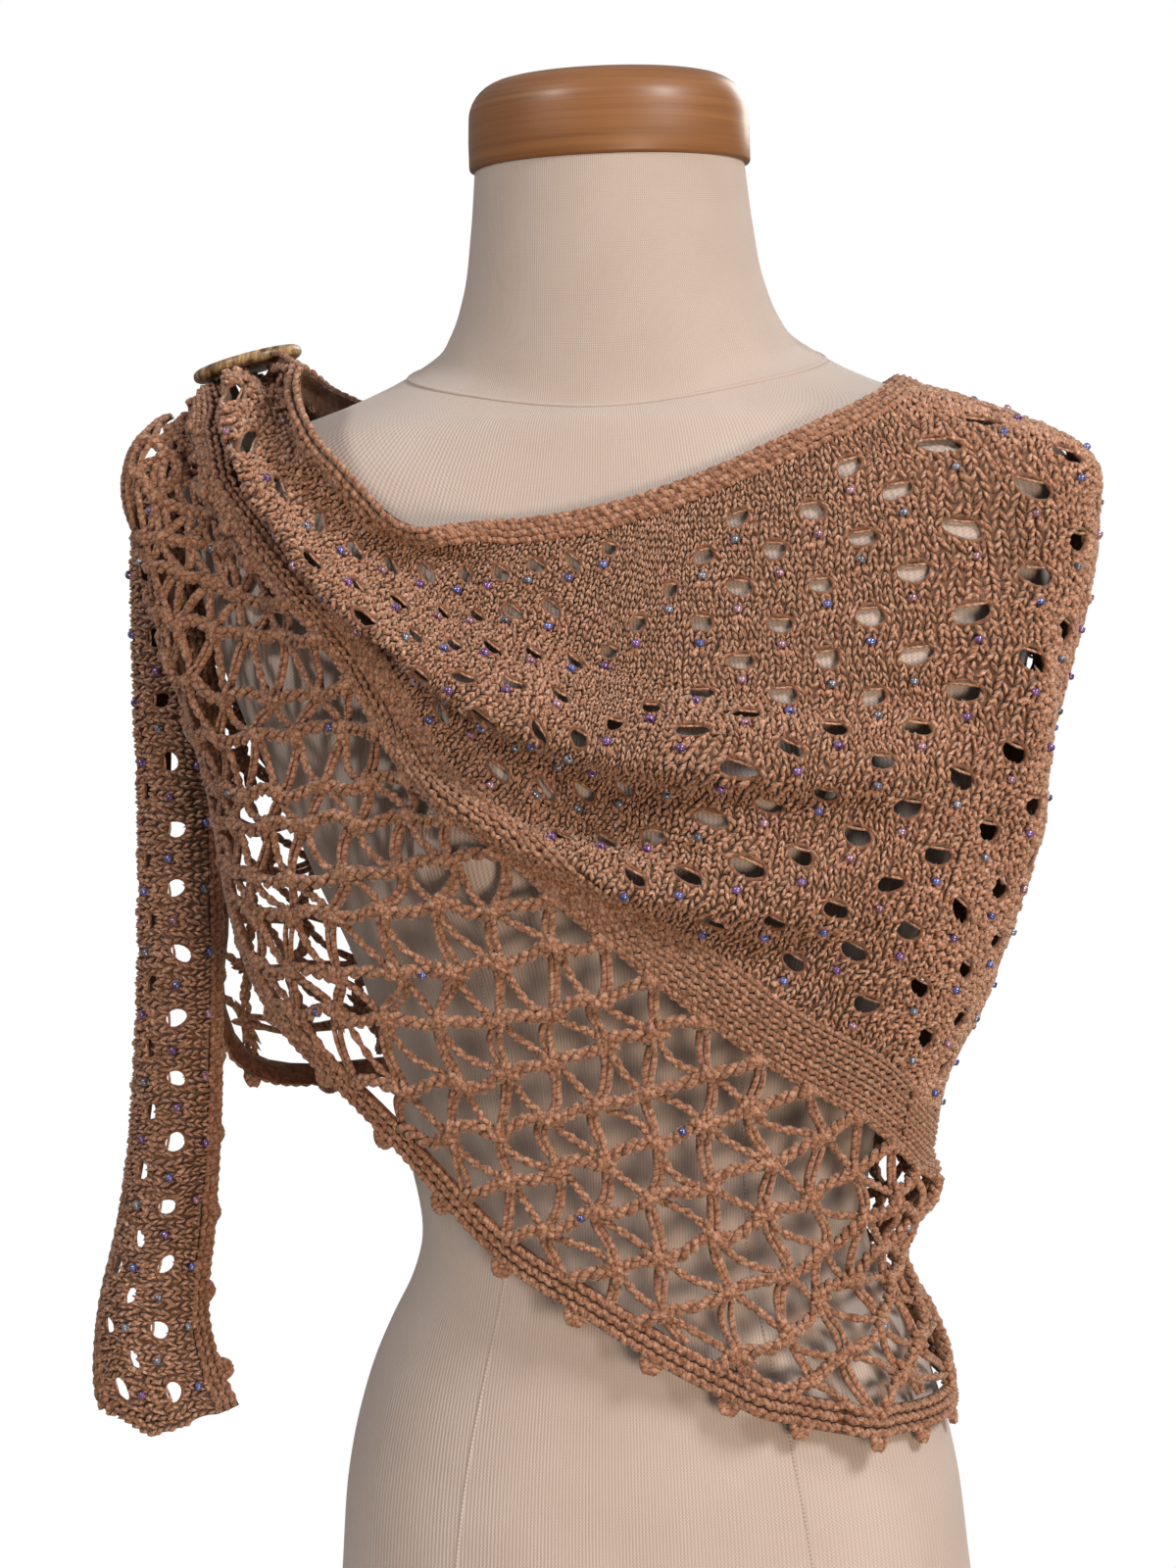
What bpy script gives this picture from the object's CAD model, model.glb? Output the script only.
import math

import bpy
import numpy as np
from mathutils import Matrix, Vector


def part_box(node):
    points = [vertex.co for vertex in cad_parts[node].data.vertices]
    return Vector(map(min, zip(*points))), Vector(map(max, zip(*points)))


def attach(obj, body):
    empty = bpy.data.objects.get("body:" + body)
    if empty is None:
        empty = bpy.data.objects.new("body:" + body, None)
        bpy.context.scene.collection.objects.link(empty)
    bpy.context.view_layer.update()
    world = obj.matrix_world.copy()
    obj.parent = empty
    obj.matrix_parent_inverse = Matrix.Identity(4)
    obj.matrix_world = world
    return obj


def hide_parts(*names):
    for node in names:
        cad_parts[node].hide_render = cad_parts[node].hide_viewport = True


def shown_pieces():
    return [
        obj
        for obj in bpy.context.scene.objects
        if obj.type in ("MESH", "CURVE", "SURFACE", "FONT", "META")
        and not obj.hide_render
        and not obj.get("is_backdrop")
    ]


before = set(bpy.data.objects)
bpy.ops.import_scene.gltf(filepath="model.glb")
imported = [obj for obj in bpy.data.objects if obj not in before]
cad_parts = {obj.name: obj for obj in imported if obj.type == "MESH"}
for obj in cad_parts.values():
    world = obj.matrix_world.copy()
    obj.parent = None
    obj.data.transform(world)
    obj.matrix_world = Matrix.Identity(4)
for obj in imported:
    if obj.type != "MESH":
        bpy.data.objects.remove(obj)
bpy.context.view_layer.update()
rng = np.random.default_rng(7)

# Sizes of the form, the wrap and the wall, in millimetres
WAIST_HEIGHT = 230.0
REST_GAP = 2.7          # middle of the cloth above the form's skin
BLEND = 2.4
CROWN_HEIGHT = 270.0    # above this height the shoulders are rounded over
CROWN_REACH = 190.0
RAY_START, RAY_END, RAY_HALVINGS = 20.0, 260.0, 18      # search for the drape along a ray
FOLD_CLEARANCE = 0.6    # least rise of a fold where the cloth rests on the form
NECK_EDGING = 10.0      # width of the slip-stitch band
HEM_EDGING = 13.0
PICOT_LENGTH = 8.0
PICOT_PITCH = 35.0
TAIL_WIDTH = 70.0

# Knitting sizes
WALE = 4.6              # width of a stitch
COURSE = 3.65           # height of a stitch
YARN = 1.12             # radius of the yarn in the stitches
EYELET_WALES = 8        # the eyelets repeat over this many stitches and courses, staggered
EYELET_COURSES = 10
HOLE = (1.3, 1.4)       # half sizes of an eyelet, in stitches and courses
BEAD_DROP = 3.2         # courses from an eyelet's middle down to its bead
PLY_LUMP = 2.7          # length of one ply's lump along the yarn
MESH_ALONG = 26.0       # the mesh's cell along the cloth and across it
MESH_ACROSS = 18.0
BEAD_HEIGHT = 2.5       # a lace bead's middle above the cloth
FIRST_EYELET = (3.0, 5.0)
NARROWEST = 0.3         # cells under this share of a stitch's width are left out
CROWDED = 1.36          # where two stitches are narrower than this many, half of the eyelets go

# The hanging end: its eyelets' repeat, first middle and half sizes, its hem, and the places across
# it of the neck edge, the band's top and foot and the hem, for its lace and for its hem edging
TAIL_REPEAT, TAIL_FIRST_EYELET, TAIL_HOLE = (6, 7), (3.0, 4.0), (0.95, 1.25)
TAIL_EDGING = 10.0
TAIL_LACE, TAIL_HEM = (0.0, 0.86, 0.93, 1.0), (0.0, 1 / 3, 2 / 3, 1.0)

# Samples of the wrap between two wale lines and across each of its bands, samples along the hanging
# end, and even steps of depth that the eyelet lace and the mesh are laid out on
WRAP_STEPS, BAND_STEPS, TAIL_STEPS = 24, 110, 220
LACE_LEVELS, MESH_LEVELS = 80, 60

# Yarn work: pitch, length and radius of the bumps in a garter ridge and of the slip stitches
GARTER_PITCH, GARTER_LENGTH, GARTER_RADIUS = 4.7, 6.4, 1.32
SLIP_PITCH, SLIP_LENGTH, SLIP_RADIUS = 5.2, 7.6, 1.6
BUMP_SAMPLES = 5
BAND_RIDGES = 5
HEM_RIDGES = 3
HEM_RADIUS = 1.5        # yarn of the hem and of the mesh drawn together at the button
PICOT_RADIUS = 2.1
RIM_RADIUS = 0.95       # yarn round an eyelet, across its top and in the peak under its bead
THIN_RADIUS = 0.6
PEAK_RADIUS = 1.25

# Mesh yarns: how far a ply lies from the middle of its rope or leg, its radius and its turns
ROPE_REACH, ROPE_PLY, ROPE_TURNS, ROPE_SAMPLES = 1.6, 1.68, 2.4, 14
LEG_REACH, LEG_PLY, LEG_TURNS, LEG_SAMPLES = 0.95, 1.22, 2.9, 12
DOUBLE_RADIUS, DOUBLE_SAMPLES = 1.45, 9
KNOT_RADIUS = 1.75

# Yarn wound about a knot: half its run along the cloth and down it, in cells, and its height
KNOT_WRAPS = ((0.2, -0.14, 2.3), (0.06, -0.3, 1.9), (-0.13, -0.24, 1.4), (0.17, 0.22, 1.7), (-0.2, 0.1, 1.0))

# Reach of each row of bumps where the mesh is drawn together at the button
BUNCH_REACHES = (2.5, 1.7, 2.9, 2.1, 3.3, 1.9, 2.6, 1.6)

# By share of the wrap's length: fewest courses of lace, cells along the mesh against the usual
# number, and fewest rows of mesh
LEAST_COURSES = ((0, 0.07, 0.14, 0.23, 0.32, 0.41, 0.5, 0.62, 0.75, 0.86, 1),
                 (16, 34, 46, 58, 72, 80, 84, 60, 40, 30, 16))
CELL_DENSITY = ((0, 0.13, 0.26, 0.74, 0.87, 1), (1.5, 1.2, 1, 0.95, 1.0, 1.2))
LEAST_ROWS = ((0, 0.1, 0.2, 0.8, 0.9, 1), (6, 8, 4, 5, 7, 5))

# The turned cap and the button
CAP_WIDTH, CAP_DEPTH, CAP_TALL = 119.0, 114.0, 40.0
CAP_EDGE = 16.0         # radius of its upper edge
CAP_BACK = 1.5          # its middle behind the form's axis
BUTTON_WIDTH, BUTTON_THICK = 48.0, 5.0
BUTTON_X, BUTTON_HEIGHT = -158.5, 379
BUTTON_TILT = 14        # degrees

# The camera: its turn, rise and roll in degrees, its aim and distance, and the size of its sensor.
# The photo's focal length and height are in its pixels
CAMERA_ANGLES = (7, 4, 1.9)
CAMERA_AIM = np.array([-17.8, 0.0, 427.0])
CAMERA_DISTANCE = 1400.0
CAMERA_SENSOR = 36.0
PHOTO_FOCAL = 3333.33
PHOTO_HEIGHT = 1600

# Lights: name, place and aim in metres, size, power and colour
LIGHTS = (
    ("key", (1.6, -1.15, 1.8), (0, 0, 0.4), 0.7, 40, (1.0, 0.985, 0.97)),
    ("left window", (-1.25, -1.45, 2.0), (0, 0, 0.4), 0.5, 22, (1.0, 0.98, 0.95)),
    ("back window", (0.8, 1.9, 1.3), (0, 0, 0.4), 0.9, 16, (1.0, 0.96, 0.9)),
    ("warm side", (1.1, -1.9, -0.1), (0, 0, 0.15), 0.8, 27, (1.0, 0.80, 0.62)),
)
SKY_STOPS = ((0.0, (0.16, 0.13, 0.11)), (0.5, (0.23, 0.22, 0.21)), (1.0, (0.42, 0.44, 0.48)))
FLOOR_RADIUS = 0.24     # in metres
WHITE = (1.0, 1.0, 1.0)
RIB_PITCH, ROW_PITCH = 1.75, 1.5    # the jersey's ribs and rows, in its UV units

cap_low, cap_high = (np.array(corner) * 1000 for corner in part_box("form_neck_cap"))
ORIGIN = np.array([0.5 * (cap_low[0] + cap_high[0]), 0.5 * (cap_low[1] + cap_high[1]) - CAP_BACK, 0.0])

# Height, half width, depth in front, depth behind, power of the section, lean of the ring
FORM = np.array([
    (-230, 139, 92, 106, 2.2, 0), (-185, 140, 93, 112, 2.2, 0), (-139, 136, 92, 111, 2.2, 0),
    (-97, 131.5, 89, 106, 2.2, 0), (-72, 126, 86, 100, 2.2, 0), (-47, 117.5, 82, 93, 2.2, 0),
    (-30, 109.5, 79, 87, 2.2, 0), (-13, 100.5, 76, 81, 2.2, 0), (0, 96.3, 74, 78, 2.2, 0),
    (40, 100, 76, 79, 2.2, 0), (80, 108, 81, 83, 2.2, 0), (120, 118, 88, 89, 2.25, 0),
    (160, 135, 92, 95, 2.3, 0), (200, 151, 94, 99, 2.35, 0), (240, 168, 92, 100, 2.4, 0),
    (270, 178, 86, 98, 2.4, 0), (300, 185, 78, 93, 2.4, 0), (320, 189, 72, 87, 2.3, 0),
    (330, 188, 69, 83, 2.2, 0), (338, 178, 67, 80, 2.0, 0), (346, 160, 65, 76, 1.9, 0),
    (354, 138, 63, 73, 1.85, 3), (361, 117, 61, 70, 1.85, 8), (367, 102, 60, 68, 1.9, 13),
    (373, 89, 59, 67, 2.0, 18), (381, 76, 58, 65, 2.0, 20), (390, 70, 57, 63, 2.0, 18),
    (406, 64, 56, 61, 2.0, 13), (432, 59.6, 55, 59, 2.0, 6), (457, 57, 54, 57, 2.0, 0),
], float)
FORM_FOOT, NECK_SEAM, NECK_TOP = -230.0, 373.0, 457.0
SKIN_COLUMNS = 120

# Princess seams: height and turn to either side, and the heights their welts run between
PRINCESS_SEAM = np.array([(-230, 46), (-90, 42), (0, 38), (180, 33), (373, 50)], float)
WELT_HEIGHTS = (-228, 140)

# Turn of the busts, their height, rise and half width in degrees, and their reach up and down
BUST_TURN, BUST_HEIGHT, BUST_RISE, BUST_WIDTH, BUST_ABOVE, BUST_BELOW = 27, 178, 25, 20, 50, 36

# Space the cloth hangs in: height, reach to the right, left, front and back, power
DRAPE = np.array([
    (-110, 133, 133, 92, 110, 2.2), (-85, 131, 131, 91, 107, 2.2), (-60, 128, 128.5, 91, 103, 2.2),
    (-30, 118, 118.5, 92, 97, 2.2), (-10, 112, 109, 92, 93, 2.2), (15, 115, 118, 94, 91, 2.25),
    (40, 124, 123.5, 97, 92, 2.3), (70, 142, 130, 101, 94, 2.3), (100, 160, 146, 106, 98, 2.35),
    (130, 167, 157, 112, 101, 2.4), (160, 172, 165, 117, 104, 2.4), (200, 178, 174, 110, 107, 2.4),
    (240, 188, 185.5, 97, 109, 2.4), (280, 193, 196, 86, 109, 2.35), (310, 195, 199.5, 76, 104, 2.3),
    (325, 194, 199, 72, 96, 2.2), (335, 186, 190, 70, 89, 2.1), (345, 172, 169, 69, 83, 1.95),
    (353, 150, 149, 68, 79, 1.9), (361, 124, 124.5, 65, 76, 1.85), (368, 105, 105, 63, 73, 1.9),
    (380, 81, 81, 61, 69, 2.0), (400, 69, 69, 59, 65, 2.0),
], float)

# The wrap: turn and height of the neck edge, the garter band's top and foot, and the hem, for each
# wale line from the button over the front, round the left side and back to the button
WRAP = np.array([
    (-89.1, 380, -89.1, 362, -89.1, 353, -89.1, 338), (-75, 391, -80, 359, -80, 347, -86, 322),
    (-56, 362, -68.7, 336, -71, 324, -87, 292), (-45.5, 339, -58.3, 302, -62, 289, -86, 255),
    (-36, 342, -49.5, 269, -53, 259, -84, 212), (-26, 351, -33.4, 228, -37.4, 214, -80, 165),
    (-12, 361, -17.6, 200, -22.3, 187, -70, 112), (3, 370, -2.1, 174, -7.3, 157, -47, 45),
    (23, 380, 10, 154, 5, 135, -30, 9), (42, 386, 23.5, 134, 19.5, 111, -10, -13),
    (57, 388, 38.3, 111, 36.2, 86, 14, -38), (70, 390, 55, 90, 54, 64, 38, -59),
    (89, 398, 77, 60, 77, 34, 62, -71), (112, 398, 102, 48, 102, 23, 90, -72),
    (135, 392, 132, 62, 132, 38, 122, -62), (158, 387, 158, 96, 158, 72, 154, -38),
    (181, 384, 182, 142, 182, 119, 184, -6), (205, 383, 205, 194, 206, 172, 210, 31),
    (226, 385, 225, 243, 226, 223, 230, 52), (243, 388, 243, 290, 243, 273, 255, 94),
    (257, 390, 257, 334, 257, 322, 261, 195), (264, 387, 264, 353, 264, 343, 265, 290),
    (269.1, 380, 269.1, 362, 269.1, 353, 269.1, 338),
], float)
FRONT_SPAN = (0.0, 11.5)
SIDE_SPAN = (11.5, 13.5)
BACK_SPAN = (13.5, 22.0)

# Crests of the folds. First how far a fold leans down over its foot, as a share of its rise, then
# its crest: turn, height, rise, half width above the crest and below it. Troughs have minus rises.
FOLDS = {
    "front gather": (0, [(-90, 338, 9, 20, 20), (-90, 382, 14, 20, 20)]),
    "back gather": (0, [(270, 338, 9, 20, 20), (270, 382, 14, 20, 20)]),
    "outer pleat": (0.4, [
        (-90, 345, 14, 6, 8), (-84, 330, 15, 8, 9), (-80, 300, 13, 10, 10), (-77, 260, 8, 12, 12),
        (-72, 215, 0, 14, 14)]),
    "outer trough": (0, [
        (-90, 351, -6, 4, 4), (-80, 340, -10, 5, 5), (-74, 318, -11, 6, 6), (-69, 290, -8, 7, 7),
        (-63, 250, 0, 10, 10)]),
    "band pleat": (0.2, [
        (-90, 357, 15, 5, 5), (-79, 348, 16, 6, 6), (-70, 327, 15, 7, 8), (-61, 293, 13, 8, 9),
        (-52, 262, 11, 9, 10), (-38, 223, 10, 10, 11), (-24, 197, 7, 12, 12), (-4, 168, 0, 16, 14)]),
    "cowl valley": (0, [
        (-90, 364, -6, 3, 3), (-80, 362, -12, 5, 5), (-70, 344, -16, 6, 6), (-62, 315, -19, 7, 7),
        (-55, 287, -24, 8, 8), (-48, 262, -26, 9, 9), (-39, 240, -26, 10, 10), (-28, 219, -24, 10, 10),
        (-14, 202, -20, 11, 10), (6, 188, -14, 12, 11), (24, 182, 0, 14, 14)]),
    "cowl roll": (0.62, [
        (-90, 369, 15, 5, 4.5), (-80, 371, 22, 8, 6), (-68, 358, 27, 10, 9), (-58, 332, 31, 12, 11),
        (-48, 300, 33, 13, 12), (-34, 266, 32, 14, 13), (-20, 245, 30, 15, 14), (0, 230, 27, 17, 15),
        (20, 222, 21, 20, 16), (41, 216, 14, 24, 18), (56, 222, 8, 30, 24), (68, 234, 0, 34, 30)]),
    "neck trough": (0, [
        (-90, 374, -5, 3, 3), (-80, 380, -10, 4, 4), (-68, 366, -14, 5, 5), (-58, 343, -14, 6, 6),
        (-49, 320, -13, 7, 7), (-41, 296, -10, 8, 8), (-30, 270, -6, 10, 10), (-14, 256, 0, 12, 12)]),
    "neck pleat": (0.3, [
        (-90, 379, 12, 6, 5), (-80, 390, 20, 9, 7), (-71, 387, 23, 11, 8), (-58, 366, 22, 12, 9),
        (-49, 347, 17, 12, 11), (-38, 336, 9, 12, 13), (-24, 336, 0, 12, 14)]),
    "left chest": (0, [
        (-20, 290, 0, 40, 26), (0, 288, -12, 60, 32), (30, 272, -16, 70, 34), (60, 262, -16, 70, 46),
        (74, 262, 0, 60, 50)]),
    "lower roll": (0.5, [
        (-46, 255, 0, 7, 7), (-37, 230, 9, 8, 8), (-26, 207, 12, 9, 8), (-14, 190, 13, 10, 9),
        (5, 173, 11, 12, 11), (24, 165, 9, 14, 13), (40, 160, 6, 15, 14), (56, 164, 0, 18, 16)]),
    "breast dip": (0, [
        (0, 148, 0, 8, 8), (14, 142, -3, 9, 9), (30, 134, -4, 10, 10), (48, 128, 0, 12, 12)]),
    "chest dip": (0, [
        (-20, 300, 0, 14, 14), (-2, 286, -4, 18, 18), (24, 262, -6, 22, 18), (50, 256, 0, 22, 20)]),
    "shoulder crease": (0.2, [
        (60, 330, 0, 9, 9), (62, 296, 4, 9, 9), (66, 260, 5, 10, 10), (71, 228, 0, 12, 12)]),
    "under the arm": (0.2, [
        (66, 292, 0, 12, 12), (73, 240, 5, 12, 14), (78, 180, 7, 13, 15), (82, 120, 0, 14, 16)]),
    "waist": (0, [(52, 18, 0, 8, 8), (70, 22, 5, 8, 7), (90, 26, 5, 8, 7), (108, 22, 0, 9, 8)]),
    "hip flute": (0, [
        (44, 40, 0, 8, 8), (42, 10, 5, 9, 9), (37, -20, 7, 10, 10), (33, -52, 8, 12, 12)]),
    "second flute": (0, [
        (62, 10, 0, 8, 8), (60, -20, 5, 8, 8), (57, -46, 7, 9, 9), (55, -70, 7, 10, 10)]),
    "back neck pleat": (0.4, [
        (270, 378, 11, 5, 5), (256, 389, 13, 8, 8), (240, 384, 7, 10, 10), (215, 374, 0, 12, 12)]),
    "back upper pleat": (0.4, [
        (270, 368, 12, 5, 5), (256, 366, 14, 8, 8), (238, 340, 12, 13, 12), (212, 298, 8, 20, 16),
        (184, 262, 0, 26, 20)]),
    "back trough": (0, [
        (270, 363, -4, 4, 4), (256, 356, -8, 6, 6), (238, 318, -7, 9, 9), (213, 268, -4, 13, 13),
        (186, 226, 0, 16, 16)]),
    "back middle pleat": (0.4, [
        (270, 357, 13, 5, 5), (256, 345, 13, 8, 8), (238, 296, 11, 13, 12), (215, 240, 8, 18, 16),
        (188, 192, 5, 22, 20), (160, 160, 0, 26, 24)]),
    "back corner": (0, [
        (265, 290, 0, 20, 20), (262, 220, 6, 26, 26), (260, 168, 14, 30, 30), (258, 132, 30, 36, 36),
        (257, 96, 54, 42, 42)]),
    "back outer pleat": (0.3, [
        (270, 345, 11, 6, 6), (260, 325, 6, 7, 7), (250, 268, 5, 11, 11), (238, 200, 4, 14, 14),
        (222, 140, 0, 16, 16)]),
}

# The hanging end from its foot up: middle x, y and height, turn of its chord and its curl
TAIL = np.array([
    (-215, 0, -80, 6, 80), (-220, 0, -58, 8, 120), (-222, 2, -30, 12, 170), (-215, 4, 10, 16, 200),
    (-209, 6, 60, 20, 220), (-205, 8, 120, 24, 235), (-203, 10, 180, 30, 240), (-203, 11, 240, 42, 235),
    (-204.5, 15, 285, 60, 200), (-206.5, 20, 322, 78, 122), (-204.8, 20, 342, 84, 104),
], float)


def unit(vectors):
    """The vectors at a length of 1."""
    return vectors / np.maximum(np.linalg.norm(vectors, axis=-1, keepdims=True), 1e-9)


def smooth(x):
    """Smooth step from 0 at 0 to 1 at 1."""
    x = np.clip(x, 0.0, 1.0)
    return x * x * (3 - 2 * x)


def through(keys, values, at):
    """Smooth curve through the values at rising keys."""
    span = np.diff(keys)
    slope = np.diff(values) / span
    tangent = np.empty(len(keys))
    tangent[0], tangent[-1] = slope[0], slope[-1]
    tangent[1:-1] = (slope[:-1] * span[1:] + slope[1:] * span[:-1]) / (span[:-1] + span[1:])
    at = np.clip(at, keys[0], keys[-1])
    row = np.clip(np.searchsorted(keys, at, side="right") - 1, 0, len(keys) - 2)
    width = span[row]
    x = (at - keys[row]) / width
    x2, x3 = x * x, x * x * x
    return ((2 * x3 - 3 * x2 + 1) * values[row] + (x3 - 2 * x2 + x) * width * tangent[row]
            + (3 * x2 - 2 * x3) * values[row + 1] + (x3 - x2) * width * tangent[row + 1])


def about_axis(radius, turn, height):
    """Points at a turn about the form's axis."""
    return np.stack([radius * np.sin(turn), -radius * np.cos(turn), height], axis=-1)


def lengths_along(lines):
    """Length from the start of each line of points to each of its points."""
    steps = np.linalg.norm(np.diff(lines, axis=-2), axis=-1).cumsum(axis=-1)
    return np.concatenate([np.zeros((*steps.shape[:-1], 1)), steps], axis=-1)


def grid_pairs(first, second):
    """Every pair of two rows' values, as two flat arrays."""
    first, second = np.meshgrid(first, second, indexing="ij")
    return first.ravel(), second.ravel()


def grid_quads(rows, columns):
    """Quads of a grid with the given numbers of cells."""
    i, j = grid_pairs(np.arange(rows), np.arange(columns))
    wide = columns + 1
    return np.stack([i * wide + j, i * wide + j + 1, (i + 1) * wide + j + 1, (i + 1) * wide + j], axis=1)


def section_radius(turn, half, depth, power):
    """Radius of a rounded section at a turn. A power of 2 makes it an ellipse."""
    across = np.abs(np.sin(turn)) / half
    along = np.abs(np.cos(turn)) / depth
    return (across ** power + along ** power) ** (-1 / power)


def bust_rise(turn, height):
    """Rise of the two busts, as soft bells."""
    level = (height - BUST_HEIGHT) / np.where(height > BUST_HEIGHT, BUST_ABOVE, BUST_BELOW)
    rise = 0.0
    for side in (-1, 1):
        away = (turn - side * math.radians(BUST_TURN) + math.pi) % (2 * math.pi) - math.pi
        rise = rise + BUST_RISE * np.exp(-(away / math.radians(BUST_WIDTH)) ** 2 - level ** 2)
    return rise


def ring_radius(turn, z):
    """Radius of the form's own section at table height z."""
    half, front, back, power = (through(FORM[:, 0], FORM[:, k], z) for k in (1, 2, 3, 4))
    depth = np.where(np.cos(turn) > 0, front, back)
    return section_radius(turn, half, depth, power) + bust_rise(turn, z)


def form_lean(z):
    """How far the form's rings lean down in front at table height z."""
    return through(FORM[:, 0], FORM[:, 5], z)


def form_radius(turn, height):
    """Radius of the form's skin at a true height, with the leaning rings read back."""
    return ring_radius(turn, height + form_lean(height) * np.cos(turn))


def drape_radius(turn, height):
    """Radius of the space the cloth hangs in, which blends into the form's skin where they meet."""
    right, left, front, back, power = (through(DRAPE[:, 0], DRAPE[:, k], height) for k in range(1, 6))
    own = section_radius(turn, np.where(np.sin(turn) > 0, left, right),
                         np.where(np.cos(turn) > 0, front, back), power)
    skin = form_radius(turn, height) + REST_GAP
    return 0.5 * (own + skin + np.hypot(own - skin, BLEND))


RADIUS_TURNS = np.radians(np.arange(0, 361.0))
RADIUS_HEIGHTS = np.arange(-120, 461.0)
RADIUS_GRID = drape_radius(RADIUS_TURNS[:, None], RADIUS_HEIGHTS[None, :])


def between(grid, x, y):
    """Value of a grid at fractional indices x and y."""
    x = np.clip(x, 0, grid.shape[0] - 1.001)
    y = np.clip(y, 0, grid.shape[1] - 1.001)
    i, j = x.astype(int), y.astype(int)
    fx, fy = x - i, y - j
    if grid.ndim == 3:
        fx, fy = fx[..., None], fy[..., None]
    return ((1 - fx) * ((1 - fy) * grid[i, j] + fy * grid[i, j + 1])
            + fx * ((1 - fy) * grid[i + 1, j] + fy * grid[i + 1, j + 1]))


def drape_point(turn, height):
    """Point of the drape. Above the crown height the rays tilt up, so that the shoulders close over."""
    turn = np.radians(turn)
    tilt = np.maximum(height - CROWN_HEIGHT, 0) / CROWN_REACH
    base = np.minimum(height, CROWN_HEIGHT)
    inner = np.full(np.shape(turn), RAY_START)
    outer = np.full(np.shape(turn), RAY_END)
    index = np.degrees(turn) % 360
    for _ in range(RAY_HALVINGS):
        middle = 0.5 * (inner + outer)
        radius = between(RADIUS_GRID, index, base + middle * np.sin(tilt) - RADIUS_HEIGHTS[0])
        inside = middle * np.cos(tilt) < radius
        inner = np.where(inside, middle, inner)
        outer = np.where(inside, outer, middle)
    return about_axis(inner * np.cos(tilt), turn, WAIST_HEIGHT + base + inner * np.sin(tilt))


def crest_rise(crest, turn, height):
    """Rise of one fold: it falls off across the nearest stretch of its crest as a soft bell."""
    scale = 2.2             # millimetres of cloth for each degree of turn
    nearest = np.full(turn.shape, np.inf)
    rise = np.zeros(turn.shape)
    for (turn_a, height_a, *a), (turn_b, height_b, *b) in zip(crest, crest[1:]):
        along_x, along_y = (turn_b - turn_a) * scale, height_b - height_a
        off_x, off_y = (turn - turn_a) * scale, height - height_a
        share = np.clip((off_x * along_x + off_y * along_y) / (along_x ** 2 + along_y ** 2), 0, 1)
        gap_x, gap_y = off_x - share * along_x, off_y - share * along_y
        gap = np.hypot(gap_x, gap_y)
        above = gap_y > 0
        width = np.where(above, a[1] + share * (b[1] - a[1]), a[2] + share * (b[2] - a[2]))
        here = (a[0] + share * (b[0] - a[0])) * np.exp(-(gap / width) ** 3)
        closer = gap < nearest
        nearest = np.where(closer, gap, nearest)
        rise = np.where(closer, here, rise)
    return rise


def folded_point(turn, height):
    """Point of the drape with its folds, which stay clear of the form's skin."""
    step = 0.5
    centre = drape_point(turn, height)
    beside = drape_point(turn + step, height) - centre
    above = drape_point(turn, height + step) - centre
    rise = 0.0
    slide = 0.0
    for lean, crest in FOLDS.values():
        here = crest_rise(crest, turn, height)
        rise = rise + here
        slide = slide + lean * here
    skin = form_radius(np.radians(turn), centre[..., 2] - WAIST_HEIGHT)
    inward = np.linalg.norm(centre[..., :2], axis=-1) - skin
    rise = np.maximum(rise, FOLD_CLEARANCE - np.maximum(inward - REST_GAP, 0))
    return centre + unit(np.cross(beside, above)) * rise[..., None] - unit(above) * slide[..., None]


class Cloth:
    """Points and outward normals of a cloth on an even grid. s runs along it, and t across it: 0 at
    the neck edge, 1 at the garter band's top, 2 at its foot and 3 at the hem."""

    def __init__(self, points, length):
        self.points = points
        self.length = length
        self.columns = points.shape[0] - 1
        self.rows = points.shape[1] - 1
        along = np.gradient(points, axis=0)
        across = np.gradient(points, axis=1)
        self.normals = unit(np.cross(across, along))

    def at(self, s, t):
        """Points and normals at the given s and t."""
        x = np.asarray(s, float) / self.length * self.columns
        y = np.asarray(t, float) / 3 * self.rows
        x, y = np.broadcast_arrays(x, y)
        return between(self.points, x, y), unit(between(self.normals, x, y))

    def edge_share(self, s, level, inward, width):
        """Share of a level that a strip of the given width takes at its edge."""
        reach = 0.06
        near = self.at(s, np.full(np.shape(s), float(level)))[0]
        far = self.at(s, np.full(np.shape(s), level + reach * inward))[0]
        return np.minimum(reach * width / np.maximum(np.linalg.norm(far - near, axis=-1), 1e-6), 0.45)

    def run(self, level):
        """Table of s and of the length along the cloth to there, at one level."""
        s = np.linspace(0, self.length, 600)
        return s, lengths_along(self.at(s, np.full(len(s), float(level)))[0])


def wrap_cloth(surface):
    """The wrap on a surface that gives a point for each turn and height."""
    length = len(WRAP) - 1
    s = np.linspace(0, length, WRAP_STEPS * length + 1)
    rows = np.arange(len(WRAP), dtype=float)
    edges = [[through(rows, WRAP[:, 2 * level + part], s) for part in (0, 1)] for level in range(4)]
    t = np.linspace(0, 3, 3 * BAND_STEPS + 1)
    level = np.minimum(t.astype(int), 2)
    share = t - level
    turn, height = (
        np.stack([edges[k][part] * (1 - x) + edges[k + 1][part] * x for k, x in zip(level, share)], axis=1)
        for part in (0, 1))
    return Cloth(surface(turn, height), float(length))


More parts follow.
